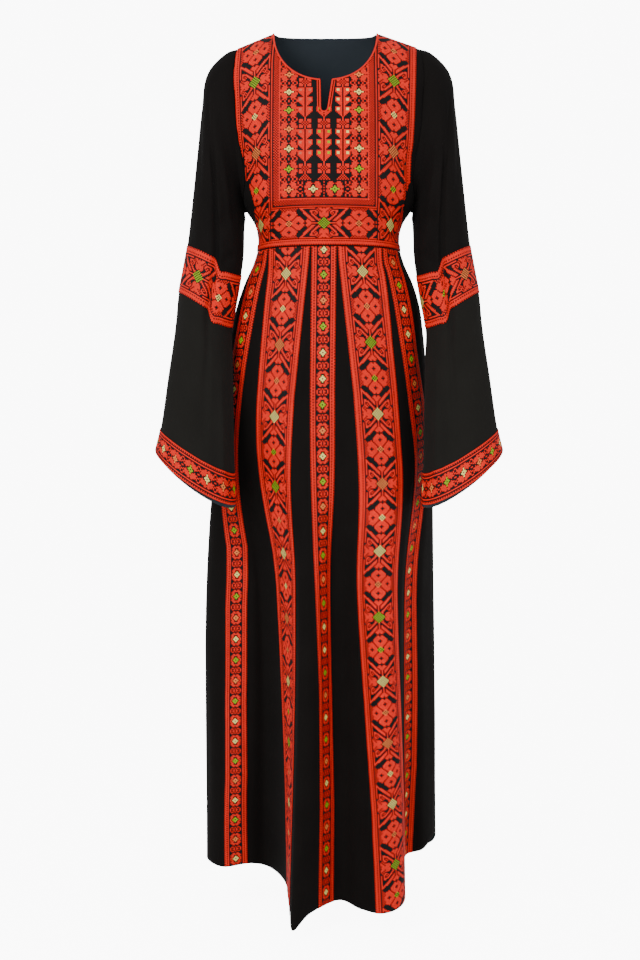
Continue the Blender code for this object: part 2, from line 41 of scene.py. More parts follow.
# ---- Camera, lights and sweep ----
# The dress was photographed level, from the front and a little to its right, against white.
# One long lens; a broad soft light from the upper left, a weaker one from the right, and a bright room.
camera_data = bpy.data.cameras.new("studio_camera")
camera_data.lens = 62.1
camera_data.sensor_width = 36.0
camera = bpy.data.objects.new("studio_camera", camera_data)
camera.location = (-0.0144, -2.75, -0.7394)
camera.rotation_euler = (math.pi / 2, 0.0, 0.0)
scene.collection.objects.link(camera)
scene.camera = camera

world = bpy.data.worlds.new("pale_room")
world.use_nodes = True
world.node_tree.nodes["Background"].inputs["Color"].default_value = (1.0, 1.0, 1.0, 1.0)
world.node_tree.nodes["Background"].inputs["Strength"].default_value = 0.85
scene.world = world


def soft_light(name, place, aim, width, height, power):
    """Rectangular softbox at a place, turned towards a point."""
    data = bpy.data.lights.new(name, "AREA")
    data.shape = "RECTANGLE"
    data.size = width
    data.size_y = height
    data.energy = power
    lamp = bpy.data.objects.new(name, data)
    scene.collection.objects.link(lamp)
    lamp.location = place
    away = [a - b for a, b in zip(place, aim)]
    lamp.rotation_euler = (math.atan2(math.hypot(away[0], away[1]), away[2]), 0.0,
                           math.atan2(away[0], -away[1]))


soft_light("key_softbox", (-1.5, -2.3, 0.7), (0.0, 0.0, -0.6), 1.2, 1.6, 60)
soft_light("fill_softbox", (1.9, -1.9, -0.2), (0.0, 0.0, -0.7), 1.2, 1.8, 20)


def add_math(tree, operation, first, second=None, third=None):
    """Math node with each input linked to a socket or set to a number."""
    node = tree.nodes.new("ShaderNodeMath")
    node.operation = operation
    for index, value in enumerate((first, second, third)):
        if value is None:
            continue
        if isinstance(value, (int, float)):
            node.inputs[index].default_value = value
        else:
            tree.links.new(value, node.inputs[index])
    return node.outputs[0]


# The sweep is one sheet of white paper: floor, a wide curve and the wall behind. It glows for the camera
# alone, as paper looks in a high-key studio. The wall stands well back, so the dress shows from behind.
bpy.ops.object.select_all(action="DESELECT")
bpy.ops.mesh.primitive_grid_add(x_subdivisions=1, y_subdivisions=71, size=2.0)
sweep = bpy.context.object
sweep.name = "studio_sweep"
SWEEP_FLOOR_Z = -1.445
SWEEP_BEND = 1.2
SWEEP_FRONT_Y = -4.5
SWEEP_BACK_Y = 5.2
SWEEP_HALF_LENGTH = 7.1
SWEEP_HALF_WIDTH = 5.0
PAPER_GLOW = 9.0
for vertex in sweep.data.vertices:
    run = (vertex.co.y + 1) * SWEEP_HALF_LENGTH + SWEEP_FRONT_Y
    bend = min(max(run - SWEEP_BACK_Y, 0.0) / SWEEP_BEND, math.pi / 2)
    over = max(run - SWEEP_BACK_Y - SWEEP_BEND * math.pi / 2, 0.0)
    vertex.co = (vertex.co.x * SWEEP_HALF_WIDTH, min(run, SWEEP_BACK_Y) + SWEEP_BEND * math.sin(bend),
                 SWEEP_FLOOR_Z + SWEEP_BEND * (1 - math.cos(bend)) + over)
bpy.ops.object.shade_smooth()
paper = bpy.data.materials.new("white_paper")
paper.use_nodes = True
paper_shader = paper.node_tree.nodes["Principled BSDF"]
paper_shader.inputs["Base Color"].default_value = (0.86, 0.86, 0.86, 1.0)
paper_shader.inputs["Roughness"].default_value = 0.9
seen = paper.node_tree.nodes.new("ShaderNodeLightPath")
glow = add_math(paper.node_tree, "MULTIPLY", seen.outputs["Is Camera Ray"], PAPER_GLOW)
paper_shader.inputs["Emission Color"].default_value = (1.0, 1.0, 1.0, 1.0)
paper.node_tree.links.new(glow, paper_shader.inputs["Emission Strength"])
sweep.data.materials.append(paper)

# ---- Black crepe ----
# The whole dress is cut from matte black crepe: a dense plain weave with a fine pebbled face.
# The bells take a paler copy of the same crepe: painted light, for the sheen where they face the key light.
# The reverse is paler and bluer, as it shows inside the back of the neck.


def group_socket(group, name, direction, kind, value=None):
    socket = group.interface.new_socket(name=name, in_out=direction, socket_type=kind)
    if value is not None:
        socket.default_value = value
    return socket


weave = bpy.data.node_groups.new("crepe_weave", "ShaderNodeTree")
group_socket(weave, "Place", "INPUT", "NodeSocketVector")
group_socket(weave, "Threads per metre", "INPUT", "NodeSocketFloat", 1500.0)
group_socket(weave, "Height", "OUTPUT", "NodeSocketFloat")
group_socket(weave, "Mottle", "OUTPUT", "NodeSocketFloat")
weave_in = weave.nodes.new("NodeGroupInput")
weave_out = weave.nodes.new("NodeGroupOutput")
weave_split = weave.nodes.new("ShaderNodeSeparateXYZ")
weave.links.new(weave_in.outputs["Place"], weave_split.inputs[0])
waves = []
for axis in (0, 1):
    turned = add_math(weave, "MULTIPLY", weave_split.outputs[axis], weave_in.outputs["Threads per metre"])
    waves.append(add_math(weave, "SINE", add_math(weave, "MULTIPLY", turned, math.pi)))
crossing = add_math(weave, "MULTIPLY", waves[0], waves[1])
pebble = weave.nodes.new("ShaderNodeTexNoise")
pebble.inputs["Scale"].default_value = 900.0
pebble.inputs["Detail"].default_value = 2.0
weave.links.new(weave_in.outputs["Place"], pebble.inputs["Vector"])
cloud = weave.nodes.new("ShaderNodeTexNoise")
cloud.inputs["Scale"].default_value = 14.0
cloud.inputs["Detail"].default_value = 3.0
weave.links.new(weave_in.outputs["Place"], cloud.inputs["Vector"])
weave.links.new(add_math(weave, "MULTIPLY_ADD", crossing, 0.35, pebble.outputs["Fac"]),
                weave_out.inputs["Height"])
weave.links.new(cloud.outputs["Fac"], weave_out.inputs["Mottle"])


def crepe_material(name, dark, light, roughness, sheen):
    """Matte crepe: weave in its relief, a faint unevenness in its black, a soft sheen at the edges."""
    material = bpy.data.materials.new(name)
    material.use_nodes = True
    tree = material.node_tree
    shader = tree.nodes["Principled BSDF"]
    shader.inputs["Roughness"].default_value = roughness
    shader.inputs["Specular IOR Level"].default_value = 0.06
    shader.inputs["Sheen Weight"].default_value = sheen
    shader.inputs["Sheen Roughness"].default_value = 0.45
    uv = tree.nodes.new("ShaderNodeUVMap")
    uv.uv_map = "cloth"
    threads = tree.nodes.new("ShaderNodeGroup")
    threads.node_tree = weave
    tree.links.new(uv.outputs[0], threads.inputs["Place"])
    tone = tree.nodes.new("ShaderNodeMix")
    tone.data_type = "RGBA"
    tone.inputs["A"].default_value = (*dark, 1.0)
    tone.inputs["B"].default_value = (*light, 1.0)
    tree.links.new(threads.outputs["Mottle"], tone.inputs["Factor"])
    tree.links.new(tone.outputs["Result"], shader.inputs["Base Color"])
    bump = tree.nodes.new("ShaderNodeBump")
    bump.inputs["Strength"].default_value = 0.35
    bump.inputs["Distance"].default_value = 0.0003
    tree.links.new(threads.outputs["Height"], bump.inputs["Height"])
    tree.links.new(bump.outputs[0], shader.inputs["Normal"])
    return material


black_crepe = crepe_material("black_crepe", (0.0042, 0.0035, 0.0033), (0.0078, 0.0065, 0.0060), 0.9, 0.012)
# Bells: the same crepe with a paler base colour, painted light for the key light's sheen on them
bell_crepe_painted_light = crepe_material("bell_crepe_painted_light", (0.0090, 0.0084, 0.0074), (0.0130, 0.0122, 0.0106), 0.9, 0.020)
crepe_reverse = crepe_material("crepe_reverse", (0.026, 0.033, 0.041), (0.034, 0.042, 0.050), 0.9, 0.03)

# ---- Bodice: front and back ----
# Two panels of crepe, sewn together at the shoulders and sides and left open at neck and armholes.
# The front has a short slit under the neckline. Both are cut from the same outline.
NECK_CENTRE_X = -0.0055
NECK_HALF = 0.084
NECK_DROP = 0.094
NECK_POWER = 2.2
BACK_NECK_Z = 0.004
BACK_SHOULDER_RISE = 0.035
SHOULDER_HALF = 0.152
SHOULDER_DROP = 0.025
ARMPIT_Z = -0.295
ARMHOLE_HALF_DEPTH = 0.062
RING_POWER = 2.3
WAIST_Z = -0.362
BORDER_TOP_Z = -0.352
PANEL_BOTTOM_Z = -0.303
CENTRE_X = -0.008
PANEL_HALF = 0.085
SLIT_HALF_TOP = 0.009
SLIT_HALF_BOTTOM = 0.0045
SLIT_BOTTOM_Z = -0.148
SLIT_LEAN = 0.0035
BODICE_LEVELS = np.array((
    # z, half width, depth in front, depth behind
    (0.040, 0.150, 0.112, 0.090),
    (-0.028, 0.152, 0.112, 0.092),
    (-0.080, 0.156, 0.114, 0.095),
    (-0.120, 0.1525, 0.116, 0.098),
    (-0.164, 0.1495, 0.118, 0.100),
    (-0.200, 0.144, 0.119, 0.099),
    (-0.2455, 0.1365, 0.115, 0.094),
    (-0.295, 0.1355, 0.106, 0.088),
    (-0.308, 0.1265, 0.103, 0.086),
    (-0.333, 0.1175, 0.097, 0.082),
    (-0.362, 0.118, 0.092, 0.080),
))
YOKE_SHARES = (0.0, 0.028, 0.075, 0.15, 0.27, 0.298, 0.40, 0.50, 0.60, 0.70, 0.80, 0.90, 1.0)
CREPE_THICKNESS = 0.0013
SETTLING_ROUNDS = 60
BODICE_YOKE_ROWS = 56
BODICE_WAIST_ROWS = 14


def through(values, knots, wanted):
    """Smooth run through rows of values that stand at the knots, read off at the wanted places."""
    values = np.asarray(values, float)
    knots = np.asarray(knots, float)
    wanted = np.clip(np.asarray(wanted, float), knots[0], knots[-1])
    tail = (1,) * (values.ndim - 1)
    span = np.diff(knots)
    slope = np.diff(values, axis=0) / span.reshape(-1, *tail)
    before = span[:-1].reshape(-1, *tail)
    after = span[1:].reshape(-1, *tail)
    inner = (slope[:-1] * after + slope[1:] * before) / (before + after)
    tangent = np.concatenate((slope[:1], inner, slope[-1:]))
    k = np.clip(np.searchsorted(knots, wanted, side="right") - 1, 0, len(span) - 1)
    t = ((wanted - knots[k]) / span[k]).reshape(wanted.shape + tail)
    h = span[k].reshape(wanted.shape + tail)
    return (values[k] * (2 * t ** 3 - 3 * t ** 2 + 1) + tangent[k] * h * (t ** 3 - 2 * t ** 2 + t)
            + values[k + 1] * (3 * t ** 2 - 2 * t ** 3) + tangent[k + 1] * h * (t ** 3 - t ** 2))


def mix(a, b, share):
    return a + (b - a) * share


def bodice_level(z, column):
    return through(BODICE_LEVELS[::-1, column], BODICE_LEVELS[::-1, 0], z)


def neck_point_x(side):
    """Inner end of a shoulder seam."""
    return NECK_CENTRE_X + side * NECK_HALF


def from_neck_centre(x):
    """Distance from the middle of the neck: 1 at the neck points."""
    return np.abs(x - NECK_CENTRE_X) / NECK_HALF


def shoulder_z(x, behind):
    neck_x = np.abs(neck_point_x(np.where(x > 0, 1, -1)))
    seam = -SHOULDER_DROP * (np.abs(x) - neck_x) / (SHOULDER_HALF - neck_x)
    out = from_neck_centre(x)
    return np.where(out >= 1, seam, BACK_SHOULDER_RISE * (1 - out ** 2) if behind else 0.0)


def bodice_y(x, z, behind):
    """How far the cloth stands in front of or behind the side seams."""
    half = bodice_level(z, 1)
    depth = bodice_level(z, 3 if behind else 2)
    top = shoulder_z(x, behind)
    fall = np.clip((top - z) / (top - ARMPIT_Z), 0, 1)
    rise = np.sqrt(1 - (1 - fall) ** 2)
    down = np.clip((-SHOULDER_DROP - z) / (-SHOULDER_DROP - ARMPIT_Z), 0, 1)
    edge = ARMHOLE_HALF_DEPTH * np.sqrt(1 - down ** 6)
    across = np.clip(np.abs(x) / half, 0, 1)
    ring = (1 - across ** RING_POWER) ** (1 / RING_POWER)
    round_out = mix(1 - across ** 2.6, ring, down ** 8)
    reach = rise * (edge + (depth - edge) * round_out)
    return reach if behind else -reach


def on_bodice(x, z, behind):
    return np.stack((x, bodice_y(x, z, behind), z), axis=-1)


def panel_edge_x(z, side):
    return mix(neck_point_x(side), CENTRE_X + side * PANEL_HALF, np.clip(-z / 0.06, 0, 1))


def outer_x(z, side, share):
    """Place between the chest panel's edge and the armhole or side seam."""
    half = bodice_level(z, 1)
    start = np.arcsin(np.clip(np.abs(panel_edge_x(z, side)) / half, 0, 1))
    return side * half * np.sin(mix(start, math.pi / 2, share))


def slit_depth(z):
    """Share of the way down the slit."""
    return np.clip((-NECK_DROP - z) / (-NECK_DROP - SLIT_BOTTOM_Z), 0, 1)


def slit_half(z):
    return mix(SLIT_HALF_TOP, SLIT_HALF_BOTTOM, slit_depth(z))


def slit_x(z):
    """Middle of the slit, which leans a little to the wearer's left towards its top."""
    return CENTRE_X + SLIT_LEAN * (1 - slit_depth(z))


def top_edge_z(x, behind):
    """Height of the shoulder seam, or of the neckline, at a distance from the middle."""
    out = np.clip(from_neck_centre(x), 0, 1)
    if behind:
        hollow = BACK_NECK_Z * (1 - out ** 2)
    else:
        hollow = -NECK_DROP * (1 - out ** NECK_POWER) ** (1 / NECK_POWER)
    return np.where(from_neck_centre(x) >= 1, shoulder_z(x, behind), hollow)


def bodice_sheet(column_x, columns, behind):
    """Rows of places from the top edge down to the waist seam, on smooth columns."""
    tops = np.full(len(columns), -0.03)
    for _ in range(SETTLING_ROUNDS):
        tops = mix(tops, top_edge_z(column_x(columns, tops), behind), 0.5)
    shares = through(np.array(YOKE_SHARES)[:, None], np.linspace(0, 1, len(YOKE_SHARES)),
                     np.linspace(0, 1, BODICE_YOKE_ROWS + 1))[:, 0]
    rows = [mix(tops, ARMPIT_Z, share) for share in shares]
    rows += [np.full(len(columns), z) for z in np.linspace(ARMPIT_Z, WAIST_Z, BODICE_WAIST_ROWS + 1)[1:]]
    return np.array([on_bodice(column_x(columns, z), z, behind) for z in rows])


def front_column_x(column, z):
    """Column 0 is the right armhole, 1 the panel's right edge, 2 and 3 the slit, then 4 and 5 to the left."""
    side = np.where(column <= 2.5, -1.0, 1.0)
    near = np.where(column <= 2.5, column, 5 - column)
    slit = mix(panel_edge_x(z, side), slit_x(z) + side * slit_half(z), np.clip(near - 1, 0, 1))
    middle = slit_x(z) + slit_half(z) * (2 * np.clip(column - 2, 0, 1) - 1)
    out = outer_x(z, side, np.clip(1 - near, 0, 1))
    return np.where(near < 1, out, np.where((column > 2) & (column < 3), middle, slit))


def back_column_x(column, z):
    """Column 0 is the left armhole, 1 and 2 the lines under the neck points, 3 the right armhole."""
    left = outer_x(z, 1, np.clip(1 - column, 0, 1))
    right = outer_x(z, -1, np.clip(column - 2, 0, 1))
    middle = mix(panel_edge_x(z, 1), panel_edge_x(z, -1), np.clip(column - 1, 0, 1))
    return np.where(column < 1, left, np.where(column > 2, right, middle))


def outward(points, closed=False):
    """Direction away from the cloth at every place of a grid."""
    along = np.gradient(points, axis=0)
    if closed:
        wide = np.concatenate((points[:, -2:-1], points, points[:, 1:2]), axis=1)
        across = (wide[:, 2:] - wide[:, :-2]) / 2
    else:
        across = np.gradient(points, axis=1)
    normal = np.cross(along, across)
    return normal / np.maximum(np.linalg.norm(normal, axis=-1, keepdims=True), 1e-12)


# Soft creases. Each runs from one place to another on the front, the back or a side.
CREASES = (
    # face, across and height of one end, of the other end, half width, depth (plus stands out)
    ("front", 0.118, -0.372, 0.020, -0.425, 0.012, -0.0022),
    ("front", -0.112, -0.380, -0.052, -0.470, 0.014, -0.0025),
    ("front", 0.090, -0.372, 0.105, -0.520, 0.012, 0.0020),
    ("front", -0.060, -0.375, -0.078, -0.560, 0.013, 0.0022),
    ("front", 0.015, -0.372, 0.020, -0.500, 0.010, -0.0020),
    ("front", -0.145, -0.560, -0.120, -0.800, 0.017, -0.0030),
    ("front", 0.148, -0.480, 0.120, -0.720, 0.016, -0.0030),
    ("front", -0.030, -0.740, -0.022, -1.060, 0.014, -0.0025),
    ("front", 0.060, -0.700, 0.062, -1.000, 0.015, 0.0022),
    ("front", -0.180, -0.950, -0.172, -1.300, 0.014, -0.0030),
    ("front", -0.150, -1.080, -0.140, -1.370, 0.012, 0.0025),
    ("front", 0.165, -0.820, 0.160, -1.060, 0.013, -0.0025),
    ("front", 0.145, -0.200, 0.105, -0.245, 0.010, -0.0018),
    ("front", -0.143, -0.190, -0.105, -0.262, 0.011, -0.0020),
    ("front", 0.128, -0.262, 0.070, -0.330, 0.010, -0.0016),
    ("front", -0.126, -0.270, -0.080, -0.325, 0.009, -0.0014),
    ("back", 0.110, -0.120, 0.060, -0.300, 0.018, -0.0030),
    ("back", -0.105, -0.130, -0.062, -0.315, 0.017, -0.0032),
    ("back", 0.020, -0.060, 0.028, -0.240, 0.016, -0.0020),
    ("back", 0.098, -0.250, 0.010, -0.345, 0.011, -0.0026),
    ("back", -0.100, -0.262, -0.020, -0.340, 0.012, -0.0024),
    ("back", 0.075, -0.372, 0.100, -0.640, 0.016, -0.0035),
    ("back", -0.070, -0.372, -0.102, -0.600, 0.016, -0.0035),
    ("back", 0.015, -0.372, 0.006, -0.560, 0.015, 0.0030),
    ("back", 0.140, -0.430, 0.150, -0.860, 0.018, 0.0035),
    ("back", -0.145, -0.460, -0.162, -0.900, 0.018, 0.0032),
    ("back", 0.030, -0.760, 0.040, -1.200, 0.017, -0.0035),
    ("back", -0.060, -0.820, -0.052, -1.150, 0.015, -0.0030),
    ("back", -0.010, -1.000, -0.012, -1.360, 0.014, 0.0030),
    ("back", 0.120, -1.000, 0.128, -1.340, 0.013, -0.0032),
    ("back", -0.120, -1.050, -0.136, -1.360, 0.014, -0.0030),
    ("left", -0.020, -0.470, 0.010, -0.760, 0.014, -0.0028),
    ("left", 0.045, -0.560, 0.060, -0.980, 0.016, -0.0030),
    ("left", 0.000, -0.980, 0.030, -1.310, 0.014, 0.0028),
    ("right", 0.030, -0.480, 0.020, -0.800, 0.015, -0.0028),
    ("right", -0.030, -0.620, -0.010, -0.940, 0.013, 0.0022),
    ("right", 0.060, -0.800, 0.075, -1.200, 0.017, -0.0034),
    ("right", 0.010, -1.020, 0.015, -1.330, 0.013, -0.0026),
)
FACES = {"front": (0, (0, -1, 0)), "back": (0, (0, 1, 0)), "left": (1, (1, 0, 0)), "right": (1, (-1, 0, 0))}


def creased(points, normals, creases=CREASES):
    """Moves places along their outward direction by every crease that passes near them."""
    push = np.zeros(points.shape[:-1])
    for face, a0, z0, a1, z1, half, depth in creases:
        axis, towards = FACES[face]
        facing = np.clip(normals @ np.array(towards, float) * 2.2, 0, 1)
        run = np.array((a1 - a0, z1 - z0))
        length = np.linalg.norm(run)
        run = run / length
        across = points[..., axis] - a0
        up = points[..., 2] - z0
        along = (across * run[0] + up * run[1]) / length
        aside = across * run[1] - up * run[0]
        ends = np.clip(1 - (2 * np.abs(along - 0.5)) ** 2, 0, 1)
        push += facing * depth * ends * np.exp(-(aside / half) ** 2)
    return points + normals * push[..., None]


def new_grid(name, rows, columns):
    """Flat grid of faces, laid out row by row, to be placed point by point."""
    bpy.ops.object.select_all(action="DESELECT")
    bpy.ops.mesh.primitive_grid_add(x_subdivisions=columns, y_subdivisions=rows, size=2.0)
    piece = bpy.context.object
    piece.name = name
    piece.data.name = name
    return piece


def lay(piece, points, flat_width, flat_length):
    """Puts a grid's points where the cloth hangs and keeps its flat lie, in metres, as a UV map."""
    mesh = piece.data
    mesh.vertices.foreach_set("co", points[::-1].reshape(-1))
    uv = mesh.uv_layers[0]
    uv.name = "cloth"
    values = np.empty(len(mesh.loops) * 2)
    uv.data.foreach_get("uv", values)
    values = values.reshape(-1, 2) * (flat_width, flat_length)
    uv.data.foreach_set("uv", values.reshape(-1))
    mesh.update()
    bpy.ops.object.shade_smooth()


def drop_faces(piece, keep):
    """Deletes the faces that a mask, given row by row from the top, leaves out."""
    mesh = piece.data
    flags = np.asarray(keep)[::-1].reshape(-1)
    bpy.context.view_layer.objects.active = piece
    bpy.ops.object.mode_set(mode="EDIT")
    bpy.ops.mesh.select_mode(type="FACE")
    bpy.ops.mesh.select_all(action="DESELECT")
    bpy.ops.object.mode_set(mode="OBJECT")
    mesh.polygons.foreach_set("select", ~flags)
    bpy.ops.object.mode_set(mode="EDIT")
    bpy.ops.mesh.delete(type="FACE")
    bpy.ops.object.mode_set(mode="OBJECT")


def close_ring(piece):
    """Joins the first and last column of a grid that was laid round in a ring."""
    bpy.context.view_layer.objects.active = piece
    bpy.ops.object.mode_set(mode="EDIT")
    bpy.ops.mesh.select_all(action="SELECT")
    bpy.ops.mesh.remove_doubles(threshold=0.00001)
    bpy.ops.object.mode_set(mode="OBJECT")


def thicken(piece, thickness, inner_slot=0):
    """Gives a sheet its second side, a thickness further in."""
    bpy.context.view_layer.objects.active = piece
    solid = piece.modifiers.new("cloth", "SOLIDIFY")
    solid.thickness = thickness
    solid.offset = -1.0
    solid.material_offset = inner_slot
    bpy.ops.object.modifier_apply(modifier=solid.name)


def finish_crepe(piece, node, face=black_crepe):
    piece.data.materials.append(face)
    piece.data.materials.append(crepe_reverse)
    thicken(piece, CREPE_THICKNESS, 1)
    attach(piece, "root")
    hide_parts(node)


front_columns = np.concatenate((np.linspace(0, 1, 15), np.linspace(1, 2, 16)[1:], np.linspace(2, 3, 4)[1:],
                                np.linspace(3, 4, 16)[1:], np.linspace(4, 5, 15)[1:]))
front_points = bodice_sheet(front_column_x, front_columns, False)
front_points = creased(front_points, outward(front_points))
bodice_front = new_grid("bodice_front_crepe", front_points.shape[0] - 1, front_points.shape[1] - 1)
lay(bodice_front, front_points, 0.38, 0.37)
middle_cells = (front_columns[:-1] >= 2 - 1e-6) & (front_columns[1:] <= 3 + 1e-6)
above_slit = (front_points[:-1, :-1, 2] + front_points[1:, 1:, 2]) / 2 > SLIT_BOTTOM_Z
drop_faces(bodice_front, ~(above_slit & middle_cells[None, :]))
finish_crepe(bodice_front, "bodice_front")

back_columns = np.concatenate((np.linspace(0, 1, 15), np.linspace(1, 2, 30)[1:], np.linspace(2, 3, 15)[1:]))
back_points = bodice_sheet(back_column_x, back_columns, True)
back_points = creased(back_points, outward(back_points))
bodice_back = new_grid("bodice_back_crepe", back_points.shape[0] - 1, back_points.shape[1] - 1)
lay(bodice_back, back_points, 0.38, 0.37)
finish_crepe(bodice_back, "bodice_back")

# ---- Skirt: front and back ----
# Two long flared panels of crepe, gathered a little into the waist seam and sewn together at the sides.
# The cloth falls in a few deep folds that open towards the hem.
HIP_Z = -0.600
KNEE_Z = -0.920
SKIRT_LEVELS = np.array((
    # z, half width right of the wearer, half width left, depth in front, depth behind
    (WAIST_Z, 0.118, 0.118, 0.092, 0.080),
    (-0.385, 0.1255, 0.1255, 0.098, 0.088),
    (-0.410, 0.137, 0.137, 0.103, 0.095),
    (-0.440, 0.148, 0.147, 0.108, 0.102),
    (-0.500, 0.163, 0.157, 0.114, 0.109),
    (HIP_Z, 0.177, 0.166, 0.119, 0.116),
))
FOLD_LINES = (
    # name, direction at the hip in degrees from the front, knee x, knee y, hem x, hem y, hem z
    ("side_right", -90, -0.2045, 0.020, -0.204, 0.030, -1.374),
    ("round_right", -73, -0.186, -0.018, -0.176, -0.012, -1.379),
    ("flat_right", -58, -0.131, -0.047, -0.131, -0.022, -1.371),
    ("valley_right", -49, -0.109, -0.047, -0.098, -0.018, -1.378),
    ("rise_right", -38, -0.086, -0.066, -0.0715, -0.075, -1.388),
    ("shoulder_right", -25, -0.055, -0.126, -0.0625, -0.160, -1.403),
    ("crest_right", -18, -0.043, -0.148, -0.057, -0.208, -1.432),
    ("slope_right", -9, -0.019, -0.145, -0.030, -0.186, -1.411),
    ("valley_middle", 5, 0.0095, -0.107, 0.015, -0.131, -1.404),
    ("rise_left", 20, 0.046, -0.125, 0.050, -0.152, -1.413),
    ("crest_left", 36, 0.085, -0.144, 0.085, -0.181, -1.412),
    ("turn_left", 50, 0.114, -0.117, 0.1165, -0.155, -1.401),
    ("face_left", 60, 0.1215, -0.083, 0.122, -0.070, -1.375),
    ("valley_left", 68, 0.131, -0.062, 0.127, -0.010, -1.360),
    ("round_left", 79, 0.156, -0.042, 0.157, 0.000, -1.352),
    ("side_left", 90, 0.176, 0.020, 0.180, 0.045, -1.334),
    ("back_round_left", 112, 0.166, 0.085, 0.176, 0.110, -1.365),
    ("back_valley_left", 135, 0.115, 0.112, 0.122, 0.132, -1.385),
    ("back_crest_left", 158, 0.055, 0.137, 0.070, 0.190, -1.390),
    ("back_valley", 180, -0.012, 0.122, -0.012, 0.145, -1.385),
    ("back_crest_right", 202, -0.078, 0.139, -0.092, 0.193, -1.390),
    ("back_valley_right", 225, -0.138, 0.112, -0.144, 0.132, -1.385),
    ("back_round_right", 248, -0.187, 0.085, -0.197, 0.112, -1.377),
)
CURVE_STEPS = 12
SIDE_LEFT = [fold[0] for fold in FOLD_LINES].index("side_left") * CURVE_STEPS
HEM_LEVEL_Z = -1.40
SKIRT_FRONT_COLUMNS = 200
SKIRT_BACK_COLUMNS = 150
SKIRT_CELL = 0.008
SKIRT_LENGTH = 1.05
HIP_BLEND = 0.05


def base_ring(degrees, z):
    """Place on the plain ring between waist and hip, at every height of z."""
    sine = math.sin(math.radians(degrees))
    cosine = math.cos(math.radians(degrees))
    half = through(SKIRT_LEVELS[::-1, 1 if sine < 0 else 2], SKIRT_LEVELS[::-1, 0], z)
    depth = through(SKIRT_LEVELS[::-1, 3 if cosine > 0 else 4], SKIRT_LEVELS[::-1, 0], z)
    length = (abs(sine) ** RING_POWER + abs(cosine) ** RING_POWER) ** (-1 / RING_POWER)
    return np.stack((half * sine * length, -depth * cosine * length, z), axis=-1)


def hermite(start, start_slope, end, end_slope, length, t):
    t = np.clip(t, 0, 1)[:, None]
    return (start * (2 * t ** 3 - 3 * t ** 2 + 1) + start_slope * length * (t ** 3 - 2 * t ** 2 + t)
            + end * (3 * t ** 2 - 2 * t ** 3) + end_slope * length * (t ** 3 - t ** 2))


def fold_line(fold, levels):
    """Places down one fold line: level 0 at the waist, 1 at the hem row."""
    degrees, knee_x, knee_y, hem_x, hem_y, hem_z = fold[1:]
    z = mix(WAIST_Z, hem_z, levels)
    hip = base_ring(degrees, np.array([HIP_Z]))[0]
    above = base_ring(degrees, np.array([HIP_Z + HIP_BLEND]))[0]
    knee = np.array((knee_x, knee_y, KNEE_Z))
    hem = np.array((hem_x, hem_y, hem_z))
    slope_hip = (hip - above) / HIP_BLEND
    slope_knee = (hem - hip) / (HIP_Z - hem_z)
    slope_hem = (hem - knee) / (KNEE_Z - hem_z)
    upper = hermite(hip, slope_hip, knee, slope_knee, HIP_Z - KNEE_Z, (HIP_Z - z) / (HIP_Z - KNEE_Z))
    lower = hermite(knee, slope_knee, hem, slope_hem, KNEE_Z - hem_z, (KNEE_Z - z) / (KNEE_Z - hem_z))
    top = base_ring(degrees, z)
    line = np.where((z >= HIP_Z)[:, None], top, np.where((z >= KNEE_Z)[:, None], upper, lower))
    line[:, 2] = z
    return line


def skirt_rings(levels):
    """Smooth closed ring through the fold lines at every level."""
    b = np.stack([fold_line(fold, levels) for fold in FOLD_LINES], axis=1)
    a, c, d = np.roll(b, 1, axis=1), np.roll(b, -1, axis=1), np.roll(b, -2, axis=1)
    steps = []
    for step in range(CURVE_STEPS):
        t = step / CURVE_STEPS
        steps.append((2 * b + (c - a) * t + (2 * a - 5 * b + 4 * c - d) * t ** 2
                      + (3 * b - a - 3 * c + d) * t ** 3) / 2)
    return np.stack(steps, axis=2).reshape(len(levels), -1, 3)


def run_lengths(line):
    return np.concatenate(([0.0], np.cumsum(np.linalg.norm(np.diff(line, axis=0), axis=1))))


def read_along(line, lengths, stations):
    return np.stack([np.interp(stations, lengths, line[:, axis]) for axis in range(3)], axis=-1)


skirt_levels = np.linspace(0, 1, int(SKIRT_LENGTH / SKIRT_CELL) + 1)
front_rows = []
back_rows = []
for ring in skirt_rings(skirt_levels):
    line = ring[:SIDE_LEFT + 1]
    lengths = run_lengths(line)
    front_rows.append(read_along(line, lengths, np.linspace(0, lengths[-1], SKIRT_FRONT_COLUMNS + 1)))
    line = np.concatenate((ring[SIDE_LEFT:], ring[:1]))
    lengths = run_lengths(line)
    back_rows.append(read_along(line, lengths, np.linspace(0, lengths[-1], SKIRT_BACK_COLUMNS + 1)))
for rows, side, columns, flat, area in (
        (front_rows, "front", SKIRT_FRONT_COLUMNS, (0.75, 1.05), 0.60),
        (back_rows, "back", SKIRT_BACK_COLUMNS, (0.62, 1.05), 0.52)):
    points = np.array(rows)
    points = creased(points, outward(points))
    skirt = new_grid("skirt_" + side + "_crepe", len(skirt_levels) - 1, columns)
    lay(skirt, points, flat[0], flat[1])
    finish_crepe(skirt, "skirt_" + side)

